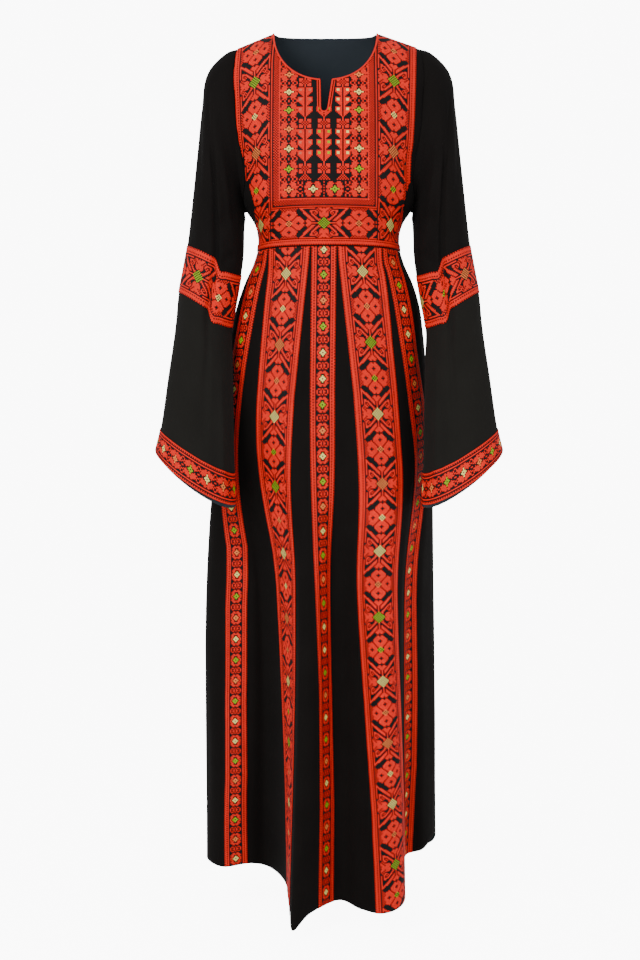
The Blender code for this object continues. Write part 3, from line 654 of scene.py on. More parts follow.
# ---- Sleeves: upper sleeve and bell ----
# Each sleeve is a slim tube of crepe down to the elbow and a wider bell from there to the wrist.
# They are sewn together under the elbow band, and the tube is sewn into the armhole.
SLEEVE_RINGS = (
    # outer x, outer z, inner x, inner z, ring centre y, half depth
    (0.170, -0.033, 0.1375, -0.3000, 0.000, 0.056),
    (0.185, -0.0445, 0.1380, -0.3045, 0.000, 0.058),
    (0.1965, -0.058, 0.1385, -0.3090, 0.000, 0.060),
    (0.204, -0.075, 0.1390, -0.3140, -0.002, 0.061),
    (0.210, -0.125, 0.1395, -0.3260, -0.007, 0.061),
    (0.2155, -0.190, 0.1395, -0.3420, -0.016, 0.060),
    (0.2225, -0.270, 0.1395, -0.3680, -0.029, 0.057),
    (0.231, -0.358, 0.1430, -0.4050, -0.045, 0.053),
    (0.2375, -0.397, 0.1500, -0.4480, -0.050, 0.052),
    (0.2436, -0.435, 0.1570, -0.4915, -0.060, 0.050),
    (0.247, -0.488, 0.1550, -0.5450, -0.079, 0.050),
    (0.2555, -0.565, 0.1525, -0.6250, -0.099, 0.051),
    (0.2678, -0.657, 0.1500, -0.7280, -0.113, 0.056),
    (0.2754, -0.6906, 0.1470, -0.7745, -0.119, 0.059),
)
ELBOW_TOP_RING = 8
ELBOW_SEAM_RING = 9
ELBOW_BOTTOM_RING = 10
CUFF_TOP_RING = 13
CUFF_DIP_FRONT = 0.019
CUFF_DIP_BACK = 0.030
SLEEVE_FRONT_CELLS = 5
SLEEVE_BACK_CELLS = 12
CREASE_DEPTH = 0.008
CREASE_STEP = 0.017
CREASE_HALF_ANGLE = 9.0
CREASE = (
    # direction in degrees from the outer edge, strength; one row for each ring from the armhole
    (60, 0.0), (60, 0.0), (60, 0.0), (60, 0.05), (62, 0.15), (68, 0.4), (78, 0.7), (88, 0.9),
    (96, 1.0), (97, 1.0), (98, 1.0), (100, 0.6), (102, 0.2), (104, 0.0), (104, 0.0),
)
SLEEVE_CELL = 0.006
SLEEVE_COLUMNS = 110


def armhole():
    """Armhole seam on the wearer's left, from the shoulder down the front to the armpit and up the back."""
    z = mix(-SHOULDER_DROP, ARMPIT_Z, np.array(YOKE_SHARES))
    half = bodice_level(z, 1)
    front = on_bodice(half, z, False)
    back = on_bodice(half, z, True)
    return np.concatenate((front, back[-2:0:-1]))


def sleeve_angles(ring):
    crease = CREASE[ring][0]
    low = crease - CREASE_HALF_ANGLE
    high = crease + CREASE_HALF_ANGLE
    angles = list(np.linspace(0, low, SLEEVE_FRONT_CELLS + 1)) + [crease]
    angles += list(np.linspace(high, 180, SLEEVE_FRONT_CELLS + 1))
    angles += list(np.linspace(180, 360, SLEEVE_BACK_CELLS + 1)[1:-1])
    return np.array(angles)


def sleeve_knots():
    """Rings of the left sleeve, from the armhole to the hem of the cuff."""
    hole = armhole()
    rows = [hole + (0.0004, 0.0, 0.0)]
    last = len(SLEEVE_RINGS)
    for ring, (out_x, out_z, in_x, in_z, centre_y, depth) in enumerate(SLEEVE_RINGS, start=1):
        crease, strength = CREASE[ring]
        outer = np.array((out_x, centre_y, out_z))
        inner = np.array((in_x, centre_y, in_z))
        centre = (outer + inner) / 2
        flare = max(0.0, (ring - ELBOW_BOTTOM_RING) / (last - ELBOW_BOTTOM_RING)) ** 2
        angles = sleeve_angles(ring)
        turn = np.radians(angles)
        row = centre + (outer - centre) * np.cos(turn)[:, None]
        row[:, 1] -= depth * np.sin(turn)
        dip = np.where(np.sin(turn) > 0, CUFF_DIP_FRONT, CUFF_DIP_BACK)
        row[:, 2] -= flare * dip * np.abs(np.sin(turn))
        row[:, 1] += np.where(angles == crease, CREASE_DEPTH * strength, 0.0)
        step = CREASE_STEP * strength * (180.0 - angles) / (180.0 - crease)
        row[:, 2] -= np.where((angles > crease) & (angles < 180.0), step, 0.0)
        if ring == 1:
            row = mix(row, hole + (0.012, 0.0, 0.0), 0.35)
        rows.append(row)
    return np.array(rows)


knots = sleeve_knots()
KNOT_RING_LENGTHS = np.concatenate(([0.0], np.cumsum(
    np.linalg.norm(np.diff(knots, axis=0), axis=2).mean(axis=1))))
wrapped = np.concatenate((knots[:, -3:], knots, knots[:, :4]), axis=1)
around = np.linalg.norm(np.diff(wrapped, axis=1), axis=2).mean(axis=0)
KNOT_TURN = np.concatenate(([0.0], np.cumsum(around)))
KNOT_TURN -= KNOT_TURN[3]
TURN_LENGTH = KNOT_TURN[-4] - KNOT_TURN[3]

# Soft creases on the left sleeve: share of the way round from the outer edge through the front, and
# length down the sleeve, at both ends
SLEEVE_CREASES = (
    # turn and run of one end, turn and run of the other, half width, depth
    (0.02, 0.060, 0.10, 0.200, 0.012, -0.0025),
    (0.13, 0.050, 0.22, 0.160, 0.013, -0.0030),
    (0.30, 0.060, 0.36, 0.190, 0.012, 0.0025),
    (0.42, 0.110, 0.20, 0.230, 0.012, -0.0035),
    (0.40, 0.220, 0.22, 0.275, 0.010, -0.0030),
    (0.08, 0.230, 0.16, 0.300, 0.011, 0.0022),
    (0.60, 0.080, 0.74, 0.230, 0.014, -0.0035),
    (0.86, 0.070, 0.78, 0.260, 0.013, 0.0028),
    (0.66, 0.200, 0.84, 0.290, 0.012, -0.0030),
    (0.20, 0.430, 0.18, 0.640, 0.015, -0.0028),
    (0.33, 0.430, 0.35, 0.660, 0.014, 0.0030),
    (0.05, 0.440, 0.04, 0.620, 0.014, 0.0022),
    (0.62, 0.430, 0.60, 0.660, 0.016, -0.0040),
    (0.76, 0.440, 0.78, 0.680, 0.017, 0.0040),
    (0.90, 0.430, 0.93, 0.640, 0.014, -0.0030),
)


def sleeve_surface(runs, turns):
    """Places on the left sleeve at lengths down it and at shares of the way round."""
    rows = through(knots, KNOT_RING_LENGTHS, runs)
    rows = np.concatenate((rows[:, -3:], rows, rows[:, :4]), axis=1)
    stations = np.mod(np.asarray(turns), 1.0) * TURN_LENGTH
    stations[np.asarray(turns) == 1.0] = TURN_LENGTH
    points = through(rows.transpose(1, 0, 2), KNOT_TURN, stations).transpose(1, 0, 2)
    normals = -outward(points, closed=True)
    push = np.zeros(points.shape[:2])
    for t0, r0, t1, r1, half, depth in SLEEVE_CREASES:
        reach = np.array(((t1 - t0) * TURN_LENGTH, r1 - r0))
        length = np.linalg.norm(reach)
        reach = reach / length
        for lap in (-1, 0, 1):
            across = (np.asarray(turns)[None, :] - t0 + lap) * TURN_LENGTH
            down = np.asarray(runs)[:, None] - r0
            along = (across * reach[0] + down * reach[1]) / length
            aside = across * reach[1] - down * reach[0]
            push += depth * np.clip(1 - (2 * np.abs(along - 0.5)) ** 2, 0, 1) * np.exp(-(aside / half) ** 2)
    above_hem = np.clip((KNOT_RING_LENGTHS[-1] - np.asarray(runs)) / 0.05, 0, 1)
    below_armhole = np.clip(np.asarray(runs) / 0.04, 0, 1)
    clear = above_hem * below_armhole
    return points + normals * (push * clear[:, None])[..., None]


def ring_run(ring):
    return KNOT_RING_LENGTHS[ring]


def sided(points, side):
    """Mirrors a left sleeve's rows for the right one and keeps the columns' sense, so faces point out."""
    if side > 0:
        return points[:, ::-1]
    return points * (-1.0, 1.0, 1.0)


for side, hand in ((-1, "right"), (1, "left")):
    for part, first, last, area, flat in (("upper_sleeve", 0, ELBOW_SEAM_RING, 0.10, (0.50, 0.37)),
                                          ("bell", ELBOW_SEAM_RING, len(SLEEVE_RINGS), 0.115, (0.45, 0.36))):
        count = int((ring_run(last) - ring_run(first)) / SLEEVE_CELL)
        runs = np.linspace(ring_run(first), ring_run(last), count + 1)
        points = sided(sleeve_surface(runs, np.linspace(0, 1, SLEEVE_COLUMNS + 1)), side)
        sleeve = new_grid(part + "_" + hand + "_crepe", count, SLEEVE_COLUMNS)
        lay(sleeve, points, TURN_LENGTH, runs[-1] - runs[0])
        close_ring(sleeve)
        # The bells take the paler crepe, painted light for their sheen towards the key light
        finish_crepe(sleeve, part + "_" + hand, bell_crepe_painted_light if part == "bell" else black_crepe)

# ---- Cross stitch ----
# Every band is cotton cross stitch on black cloth: one crossed pair of stranded threads to each square.
# A face of a band's mesh is one stitch; its thread is a colour kept on the face, bare cloth is left black.
stitching = bpy.data.node_groups.new("cross_stitch", "ShaderNodeTree")
group_socket(stitching, "Place", "INPUT", "NodeSocketVector")
group_socket(stitching, "Thread half width", "INPUT", "NodeSocketFloat", 0.36)
group_socket(stitching, "Height", "OUTPUT", "NodeSocketFloat")
group_socket(stitching, "Cover", "OUTPUT", "NodeSocketFloat")
group_socket(stitching, "Shade", "OUTPUT", "NodeSocketFloat")
stitch_in = stitching.nodes.new("NodeGroupInput")
stitch_out = stitching.nodes.new("NodeGroupOutput")
stitch_split = stitching.nodes.new("ShaderNodeSeparateXYZ")
stitching.links.new(stitch_in.outputs["Place"], stitch_split.inputs[0])
across_cell = add_math(stitching, "FRACT", stitch_split.outputs[0])
down_cell = add_math(stitching, "FRACT", stitch_split.outputs[1])
legs = []
for sense, lift in ((add_math(stitching, "SUBTRACT", across_cell, down_cell), 1.0),
                    (add_math(stitching, "SUBTRACT", add_math(stitching, "ADD", across_cell, down_cell), 1.0),
                     0.72)):
    aside = add_math(stitching, "DIVIDE", add_math(stitching, "ABSOLUTE", sense),
                     stitch_in.outputs["Thread half width"])
    hump = add_math(stitching, "MAXIMUM", add_math(stitching, "SUBTRACT", 1.0, aside), 0.0)
    legs.append(add_math(stitching, "MULTIPLY", add_math(stitching, "POWER", hump, 0.5), lift))
leg_height = add_math(stitching, "MAXIMUM", legs[0], legs[1])
strands = stitching.nodes.new("ShaderNodeTexWave")
strands.bands_direction = "DIAGONAL"
strands.inputs["Scale"].default_value = 1.1
strands.inputs["Distortion"].default_value = 1.5
stitching.links.new(stitch_in.outputs["Place"], strands.inputs["Vector"])
stitching.links.new(add_math(stitching, "MULTIPLY_ADD", strands.outputs["Fac"], 0.12, leg_height),
                    stitch_out.inputs["Height"])
stitching.links.new(add_math(stitching, "MINIMUM", add_math(stitching, "MULTIPLY", leg_height, 4.0), 1.0),
                    stitch_out.inputs["Cover"])
cell = stitching.nodes.new("ShaderNodeVectorMath")
cell.operation = "FLOOR"
stitching.links.new(stitch_in.outputs["Place"], cell.inputs[0])
tension = stitching.nodes.new("ShaderNodeTexWhiteNoise")
tension.noise_dimensions = "2D"
stitching.links.new(cell.outputs[0], tension.inputs["Vector"])
dye = stitching.nodes.new("ShaderNodeTexNoise")
dye.noise_dimensions = "2D"
dye.inputs["Scale"].default_value = 0.045
stitching.links.new(stitch_in.outputs["Place"], dye.inputs["Vector"])
stitching.links.new(
    add_math(stitching, "ADD", add_math(stitching, "MULTIPLY_ADD", tension.outputs["Value"], 0.16, 0.72),
             add_math(stitching, "MULTIPLY", dye.outputs["Fac"], 0.36)), stitch_out.inputs["Shade"])


def stitched_material(name, half_width, roughness):
    """Threads in the faces' own colours, standing on bare black cloth."""
    material = bpy.data.materials.new(name)
    material.use_nodes = True
    tree = material.node_tree
    shader = tree.nodes["Principled BSDF"]
    shader.inputs["Roughness"].default_value = roughness
    shader.inputs["Specular IOR Level"].default_value = 0.12
    shader.inputs["Sheen Weight"].default_value = 0.01
    uv = tree.nodes.new("ShaderNodeUVMap")
    uv.uv_map = "cloth"
    thread = tree.nodes.new("ShaderNodeVertexColor")
    thread.layer_name = "thread"
    legs_node = tree.nodes.new("ShaderNodeGroup")
    legs_node.node_tree = stitching
    legs_node.inputs["Thread half width"].default_value = half_width
    tree.links.new(uv.outputs[0], legs_node.inputs["Place"])
    dyed = tree.nodes.new("ShaderNodeVectorMath")
    dyed.operation = "SCALE"
    tree.links.new(thread.outputs["Color"], dyed.inputs[0])
    tree.links.new(legs_node.outputs["Shade"], dyed.inputs["Scale"])
    shown = add_math(tree, "MULTIPLY", legs_node.outputs["Cover"], thread.outputs["Alpha"])
    colour = tree.nodes.new("ShaderNodeMix")
    colour.data_type = "RGBA"
    colour.inputs["A"].default_value = (0.0040, 0.0037, 0.0038, 1.0)
    tree.links.new(shown, colour.inputs["Factor"])
    tree.links.new(dyed.outputs[0], colour.inputs["B"])
    tree.links.new(colour.outputs["Result"], shader.inputs["Base Color"])
    bump = tree.nodes.new("ShaderNodeBump")
    bump.inputs["Strength"].default_value = 0.5
    bump.inputs["Distance"].default_value = 0.0005
    tree.links.new(add_math(tree, "MULTIPLY", legs_node.outputs["Height"], thread.outputs["Alpha"]),
                   bump.inputs["Height"])
    tree.links.new(bump.outputs[0], shader.inputs["Normal"])
    return material


cross_stitch = stitched_material("cotton_cross_stitch", 0.32, 0.62)
BARE, RED, PEACH, GREEN, CREAM, PINK = range(6)
THREADS = np.array((
    # linear red, green, blue and cover
    (0.0040, 0.0037, 0.0038, 0.0),
    (0.860, 0.014, 0.003, 1.0),
    (0.920, 0.220, 0.050, 1.0),
    (0.300, 0.460, 0.010, 1.0),
    (0.980, 0.800, 0.200, 1.0),
    (0.600, 0.120, 0.070, 1.0),
))
BAND_LIFT = 0.0011
BAND_THICKNESS = 0.0007


def chart(*rows, **threads):
    """Chart drawn row by row: # is red, a point is bare cloth, letters are the threads named."""
    codes = {"#": RED, ".": BARE, **threads}
    return np.array([[codes[mark] for mark in row] for row in rows])


def mirrored(half):
    """A chart and its mirror image, sharing the middle column."""
    return np.concatenate((half, half[:, -2::-1]), axis=1)


def there_and_back(rows):
    """A repeat that runs to its last row and back again, sharing both end rows."""
    return np.concatenate((rows, rows[-2:0:-1]))


# Marks in a chart whose thread changes from one repeat to the next
STAR, LATTICE = 6, 7


def repeated(motif, rows, start, stars, lattices):
    """Rows of a repeat beginning at one of its rows, with star and lattice threads taken in turn."""
    length = len(motif)
    lines = np.arange(start, start + rows)
    field = motif[np.mod(lines, length)].copy()
    star_turn = np.round(lines / length).astype(int)
    lattice_turn = np.floor(lines / length).astype(int)
    star_thread = np.array(stars)[np.mod(star_turn, len(stars))]
    lattice_thread = np.array(lattices)[np.mod(lattice_turn, len(lattices))]
    field = np.where(field == STAR, star_thread[:, None], field)
    return np.where(field == LATTICE, lattice_thread[:, None], field)


def bordered(field, border):
    """Sets a border, drawn from the outer edge inwards, down both sides of a field."""
    side = border[np.mod(np.arange(len(field)), len(border))]
    return np.concatenate((side, field, side[:, ::-1]), axis=1)


def stitched_band(name, node, points, codes, ring=False):
    """Cross-stitch band: one face to a stitch, lifted off the crepe under it."""
    rows, columns = codes.shape
    normals = outward(points, closed=ring)
    points = points + normals * BAND_LIFT
    band = new_grid(name, rows, columns)
    lay(band, points, columns, rows)
    mesh = band.data
    thread = mesh.color_attributes.new("thread", "FLOAT_COLOR", "CORNER")
    colours = np.repeat(THREADS[np.maximum(codes, 0)][::-1].reshape(-1, 4), 4, axis=0)
    thread.data.foreach_set("color", colours.reshape(-1))
    if (codes < 0).any():
        drop_faces(band, codes >= 0)
    if ring:
        close_ring(band)
    mesh.materials.append(cross_stitch)
    thicken(band, BAND_THICKNESS)
    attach(band, "root")
    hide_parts(node)


# ---- Skirt strips ----
# Two wide and three narrow strips run down the front of the skirt and spread towards the hem.
# The wide ones carry four-flower diamonds and curled branches, the narrow ones a row of small flowers.
WIDE_WIDTH = 0.075
NARROW_WIDTH = 0.040
MIDDLES = np.array((
    # z, middle line of the embroidery
    (WAIST_Z, -0.0080),
    (-0.60, -0.0105),
    (-0.85, -0.0100),
    (-1.08, -0.0065),
    (-1.25, -0.0045),
    (-1.40, -0.0060),
))
WIDE_WIDTHS = np.array((
    # z, width of the wide strip right of the wearer, drawn in by a fold that runs down it, and left
    (WAIST_Z, 0.075, 0.075),
    (-0.43, 0.068, 0.075),
    (-0.60, 0.064, 0.075),
    (-0.85, 0.068, 0.075),
    (-1.05, 0.075, 0.075),
    (-1.40, 0.075, 0.075),
))
STITCH_LENGTHS = np.array((
    # z, length of a stitch there: the rows are worked closer towards the hem
    (WAIST_Z, 0.00224),
    (-0.49, 0.00224),
    (-0.64, 0.00219),
    (-0.77, 0.00209),
    (-0.97, 0.00196),
    (-1.07, 0.00187),
    (-1.17, 0.00182),
    (HEM_LEVEL_Z, 0.00178),
))
GUSSETS = np.array((
    # z, then black cloth from centre to wide strip and from wide to outer strip, right and left
    (WAIST_Z, 0.002, 0.002, 0.002, 0.002),
    (-0.39, 0.004, 0.003, 0.004, 0.003),
    (HIP_Z, 0.025, 0.019, 0.029, 0.022),
    (-0.86, 0.043, 0.042, 0.048, 0.041),
    (-0.96, 0.058, 0.060, 0.055, 0.051),
    (-1.12, 0.078, 0.086, 0.066, 0.073),
    (-1.28, 0.090, 0.116, 0.077, 0.094),
    (HEM_LEVEL_Z, 0.095, 0.140, 0.087, 0.110),
))
wide_motif = there_and_back(mirrored(chart(
    "#.##...###x.x",
    ".####.####.x.",
    "#.########.#x",
    ".#.######.###",
    "#.######.####",
    ".#.####.#####",
    "#....#.#####.",
    ".......####..",
    "#......#####.",
    "##......#####",
    "###......####",
    "#.###.....##.",
    "#..###.......",
    "#...###...##.",
    "#....###.####",
    "#.....###.###",
    "#.##...###.##",
    "#.####..###.#",
    "#.#..##..##.#",
    "#.#.#.##..#.#",
    "..##.#.##...#",
    ".#.##...##..#",
    "#.#......##.o",
    "##.####..#.o.",
    "###.####..o.o",
    ".#######.o.o.",
    "#######.o.o.o",
    x=STAR, o=LATTICE)))
wide_border = chart("###.#.",
                    ".####.")
narrow_motif = there_and_back(mirrored(chart(
    "#.xx.",
    "##.xx",
    ".##.x",
    "###..",
    ".####",
    "..##.",
    ".....",
    ".##.#",
    "#..#.",
    "#.##.",
    x=STAR)))
narrow_border = chart("##.#.",
                      ".###.")


def skirt_middle(line, lengths, level):
    """How far round the front the embroidery's own middle line is."""
    wanted = np.interp(mix(WAIST_Z, HEM_LEVEL_Z, level), MIDDLES[::-1, 0], MIDDLES[::-1, 1])
    hits = (line[:-1, 0] <= wanted) & (line[1:, 0] > wanted) & (line[1:, 1] < -0.05)
    i = np.nonzero(hits)[0][-1]
    share = (wanted - line[i, 0]) / (line[i + 1, 0] - line[i, 0])
    return mix(lengths[i], lengths[i + 1], share)


def strip_edges(level, strip, side):
    """Both edges of a strip, measured along the cloth from the middle line."""
    z = mix(WAIST_Z, HEM_LEVEL_Z, level)
    inner, outer = [np.interp(z, GUSSETS[::-1, 0], GUSSETS[::-1, column])
                    for column in ((1, 2) if side < 0 else (3, 4))]
    near = NARROW_WIDTH / 2 + inner
    far = near + np.interp(z, WIDE_WIDTHS[::-1, 0], WIDE_WIDTHS[::-1, 1 if side < 0 else 2])
    outermost = near + WIDE_WIDTH + outer
    places = {"centre": (-NARROW_WIDTH / 2, NARROW_WIDTH / 2), "wide": (near, far),
              "side": (outermost, outermost + NARROW_WIDTH)}
    return places[strip]


SMALL_FLOWERS = (CREAM, CREAM, GREEN, PEACH, CREAM, GREEN, PEACH, CREAM, GREEN, PEACH, GREEN)
SKIRT_STRIPS = (
    # node, kind, side, height of the first flower in the list, threads of the flowers and of the lattices
    # below them, share by which its stitches are longer
    ("strip_side_right", "side", -1, -0.7456, SMALL_FLOWERS, (GREEN,), 1.0),
    ("strip_wide_right", "wide", -1, -0.4655, (CREAM, PEACH, GREEN, PEACH), (PEACH, CREAM, GREEN, CREAM), 1.0),
    ("strip_centre", "centre", 1, -0.5364, SMALL_FLOWERS, (GREEN,), 1.045),
    ("strip_wide_left", "wide", 1, -0.4608, (PEACH, GREEN, PEACH, CREAM), (GREEN, CREAM, PEACH, CREAM), 1.0),
    ("strip_side_left", "side", 1, -0.4639, SMALL_FLOWERS, (GREEN,), 1.0),
)
STRIP_TOP_Z = -0.3645
STRIP_STATIONS = 160
coarse = np.linspace((WAIST_Z - STRIP_TOP_Z) / (WAIST_Z - HEM_LEVEL_Z), 1, STRIP_STATIONS)
coarse_rings = skirt_rings(coarse)[:, :SIDE_LEFT + 1]
for node, kind, side, flower_z, stars, lattices, longer in SKIRT_STRIPS:
    middles = []
    for ring, level in zip(coarse_rings, coarse):
        lengths = run_lengths(ring)
        edge = sum(strip_edges(level, kind, side)) / 2
        middles.append(read_along(ring, lengths, [skirt_middle(ring, lengths, level) + side * edge])[0])
    middles = np.array(middles)
    down = run_lengths(middles)
    stitch = longer * np.interp(middles[:, 2], STITCH_LENGTHS[::-1, 0], STITCH_LENGTHS[::-1, 1])
    counted = np.concatenate(([0.0], np.cumsum(np.diff(down) * 2 / (stitch[1:] + stitch[:-1]))))
    rows = int(counted[-1])
    strip_levels = np.interp(np.linspace(0, counted[-1], rows + 1), counted, coarse)
    start = -round(float(np.interp(-flower_z, -middles[:, 2], counted)))
    motif = wide_motif if kind == "wide" else narrow_motif
    border = wide_border if kind == "wide" else narrow_border
    codes = bordered(repeated(motif, rows, start, stars, lattices), border)
    points = []
    for ring, level in zip(skirt_rings(strip_levels)[:, :SIDE_LEFT + 1], strip_levels):
        lengths = run_lengths(ring)
        first, second = sorted(side * edge for edge in strip_edges(level, kind, side))
        middle = skirt_middle(ring, lengths, level)
        points.append(read_along(ring, lengths, middle + np.linspace(first, second, codes.shape[1] + 1)))
    points = np.array(points)
    points = creased(points, outward(points))
    stitched_band(node + "_stitched", node, points, codes)

# ---- Chest panel ----
# A stitched panel on the breast, cut to the neckline and slit: a roped frame, a column of rosettes down
# each side with a row of four at the foot, and three leafy stalks between them.
CHEST_COLUMNS = 79
CHEST_ROWS = 146
rosette = mirrored(chart(
    ".#.xxx.",
    "####.xx",
    "#####.x",
    ".####..",
    ".#####.",
    "..###..", x=STAR))
rosette = np.concatenate((rosette[:0:-1], rosette))
ROSETTE_ROWS, ROSETTE_COLUMNS = rosette.shape
CHEST_FRAME = 7
CHEST_STITCH = 0.00215
CHEST_EDGE = 0.0028
PROFILE_STEPS = 600
PROFILE_X = 0.07
rosette_curls = mirrored(chart(
    ".##.#..",
    "#..#..#",
    "#..#..#",
    ".##.#.."))
leaf_pair = mirrored(chart(
    "#####.",
    "#ss##.",
    "#ss##.",
    "#####.",
    ".####.",
    "..###.",
    "...##.",
    "....#.", s=STAR))
leaf_point = mirrored(chart(
    ".....#",
    ".....#"))
small_squares = mirrored(chart(
    ".###.#",
    ".###.#",
    ".##.#.",
    "...#.#",
    ".##.#.",
    ".###.#",
    ".###.#",
    ".....#"))
stalk_foot = mirrored(chart(
    "....#.",
    "...#.#",
    "..#.#.",
    ".#.#.#"))
three_leaves = np.concatenate((leaf_pair, leaf_pair, leaf_pair, leaf_point, small_squares))
short_stalk = np.concatenate((leaf_pair, leaf_point, small_squares, three_leaves, stalk_foot))
tall_stalk = np.concatenate((three_leaves, three_leaves, three_leaves, stalk_foot))


def with_star(motif, thread):
    return np.where(motif == STAR, thread, motif)


def chest_chart():
    """The whole panel, from far above the neckline down to its foot; the cut comes later."""
    panel = np.full((CHEST_ROWS, CHEST_COLUMNS), BARE)
    lines, places = np.mgrid[0:CHEST_ROWS, 0:CHEST_COLUMNS]
    inset = np.minimum(np.minimum(places, CHEST_COLUMNS - 1 - places), CHEST_ROWS - 1 - lines)
    panel[(inset == 0) | (inset == 6)] = RED
    panel[(inset >= 2) & (inset <= 5) & ((lines + places) % 2 == 0)] = RED
    foot = CHEST_ROWS - CHEST_FRAME - 1 - ROSETTE_ROWS
    foot_rows = slice(foot, foot + ROSETTE_ROWS)
    curls = len(rosette_curls)
    for turn, thread in enumerate((PEACH, GREEN, CREAM) * 3):
        top = foot - (ROSETTE_ROWS + curls) * turn
        for left in (CHEST_FRAME, CHEST_COLUMNS - CHEST_FRAME - ROSETTE_COLUMNS):
            if top >= 0:
                panel[top:top + ROSETTE_ROWS, left:left + ROSETTE_COLUMNS] = with_star(rosette, thread)
            if top >= curls:
                panel[top - curls:top, left:left + ROSETTE_COLUMNS] = rosette_curls
    for left, thread in ((25, CREAM), (41, GREEN)):
        panel[foot_rows, left:left + ROSETTE_COLUMNS] = with_star(rosette, thread)
    for left in (20, 55):
        panel[foot_rows, left:left + curls] = rosette_curls[:, 1:-1].T
    panel[foot_rows, CHEST_COLUMNS // 2][::2] = RED
    for left, stalk, thread in ((20, tall_stalk, PINK), (34, short_stalk, GREEN), (48, tall_stalk, CREAM)):
        stalk = stalk[-(foot - 1):]
        panel[foot - 1 - len(stalk):foot - 1, left:left + stalk.shape[1]] = with_star(stalk, thread)
    return panel


def profile_heights(foot_z, top_z, stitches):
    """Heights up the breast at equal steps along the cloth, from a foot line upwards."""
    fine = np.linspace(foot_z, top_z, PROFILE_STEPS)
    line = on_bodice(np.full(PROFILE_STEPS, PROFILE_X), fine, False)
    lengths = run_lengths(line)
    return np.interp(np.arange(stitches + 1) * CHEST_STITCH, lengths, fine)


panel_codes = chest_chart()
heights = profile_heights(PANEL_BOTTOM_Z + 0.0002, -0.0005, CHEST_ROWS)[::-1]
spread = np.linspace(0, 1, CHEST_COLUMNS + 1)
panel_x = np.array([mix(panel_edge_x(z, -1), panel_edge_x(z, 1), spread) for z in heights])
panel_z = np.repeat(heights[:, None], CHEST_COLUMNS + 1, axis=1)
points = on_bodice(panel_x, panel_z, False)
points = creased(points, outward(points))
cell_x = (panel_x[:-1, :-1] + panel_x[1:, 1:]) / 2
cell_z = (panel_z[:-1, :-1] + panel_z[1:, 1:]) / 2
in_neck = ((np.abs(cell_x - NECK_CENTRE_X) / (NECK_HALF + CHEST_EDGE)) ** NECK_POWER
           + (np.abs(cell_z) / (NECK_DROP + CHEST_EDGE)) ** NECK_POWER) < 1
in_slit = ((np.abs(cell_x - slit_x(cell_z)) < slit_half(cell_z) + CHEST_EDGE)
           & (cell_z > SLIT_BOTTOM_Z - CHEST_EDGE))
too_high = np.abs(heights[:-1] - heights[1:]) < 0.0002
panel_codes = np.where(in_neck | in_slit | too_high[:, None], -1, panel_codes)
stitched_band("chest_panel_stitched", "chest_panel", points, panel_codes)

# ---- Yoke bands ----
# The wide strip's pattern again, from each shoulder down beside the chest panel to the belt. The outer
# edge runs away under the arm.
YOKE_WIDTH_STITCH = 0.0022
YOKE_LENGTH_STITCH = 0.00227
YOKE_LATTICE_Z = -0.2122
YOKE_COLUMNS = 80
YOKE_AXIS = 30
LINE_STEPS = 400
YOKE_EDGE = np.array((
    # z, how far out from the middle the band reaches there
    (0.0, 0.160),
    (-0.195, 0.150),
    (-0.214, 0.1395),
    (-0.249, 0.135),
    (-0.260, 0.129),
    (-0.289, 0.1217),
    (-0.324, 0.118),
    (-0.352, 0.114),
))
for side, hand in ((-1, "right"), (1, "left")):
    shares = np.linspace(0, 1, YOKE_COLUMNS)
    tops = np.full(YOKE_COLUMNS, -0.02)
    for _ in range(SETTLING_ROUNDS):
        tops = mix(tops, shoulder_z(outer_x(tops, side, shares), False), 0.5)
    yoke_levels = np.linspace(0, 1, LINE_STEPS)
    axis_z = mix(tops[YOKE_AXIS], BORDER_TOP_Z, yoke_levels)
    down = run_lengths(on_bodice(outer_x(axis_z, side, shares[YOKE_AXIS]), axis_z, False))
    rows = int(down[-1] / YOKE_LENGTH_STITCH)
    row_levels = np.interp(np.linspace(0, down[-1], rows + 1), down, yoke_levels)
    to_lattice = float(np.interp(-YOKE_LATTICE_Z, -axis_z, down))
    start = len(wide_motif) // 2 - round(to_lattice / YOKE_LENGTH_STITCH)
    field = repeated(wide_motif, rows, start, (CREAM, GREEN, PEACH), (PEACH, CREAM, GREEN))
    border = wide_border[np.mod(np.arange(rows), len(wide_border)), ::-1]
    codes = np.concatenate((np.full((rows, 1), BARE), field, border), axis=1)
    points = []
    for level in row_levels:
        z = mix(tops, BORDER_TOP_Z + 0.0003, level)
        line = on_bodice(outer_x(z, side, shares), z, False)
        lengths = run_lengths(line)
        points.append(read_along(line, lengths, np.minimum(
            np.arange(codes.shape[1] + 1) * YOKE_WIDTH_STITCH, lengths[-1] - 0.0004)))
    points = np.array(points)
    narrow = np.linalg.norm(points[:, 1:] - points[:, :-1], axis=2) < 0.5 * YOKE_WIDTH_STITCH
    middles = (points[:-1, :-1] + points[1:, 1:]) / 2
    beyond = np.abs(middles[..., 0]) > np.interp(middles[..., 2], YOKE_EDGE[::-1, 0], YOKE_EDGE[::-1, 1])
    codes = np.where(narrow[:-1] | narrow[1:] | beyond, -1, codes)
    if side < 0:
        points = points[:, ::-1]
        codes = codes[:, ::-1]
    points = creased(points, outward(points))
    stitched_band("yoke_band_" + hand + "_stitched", "yoke_band_" + hand, points, codes)

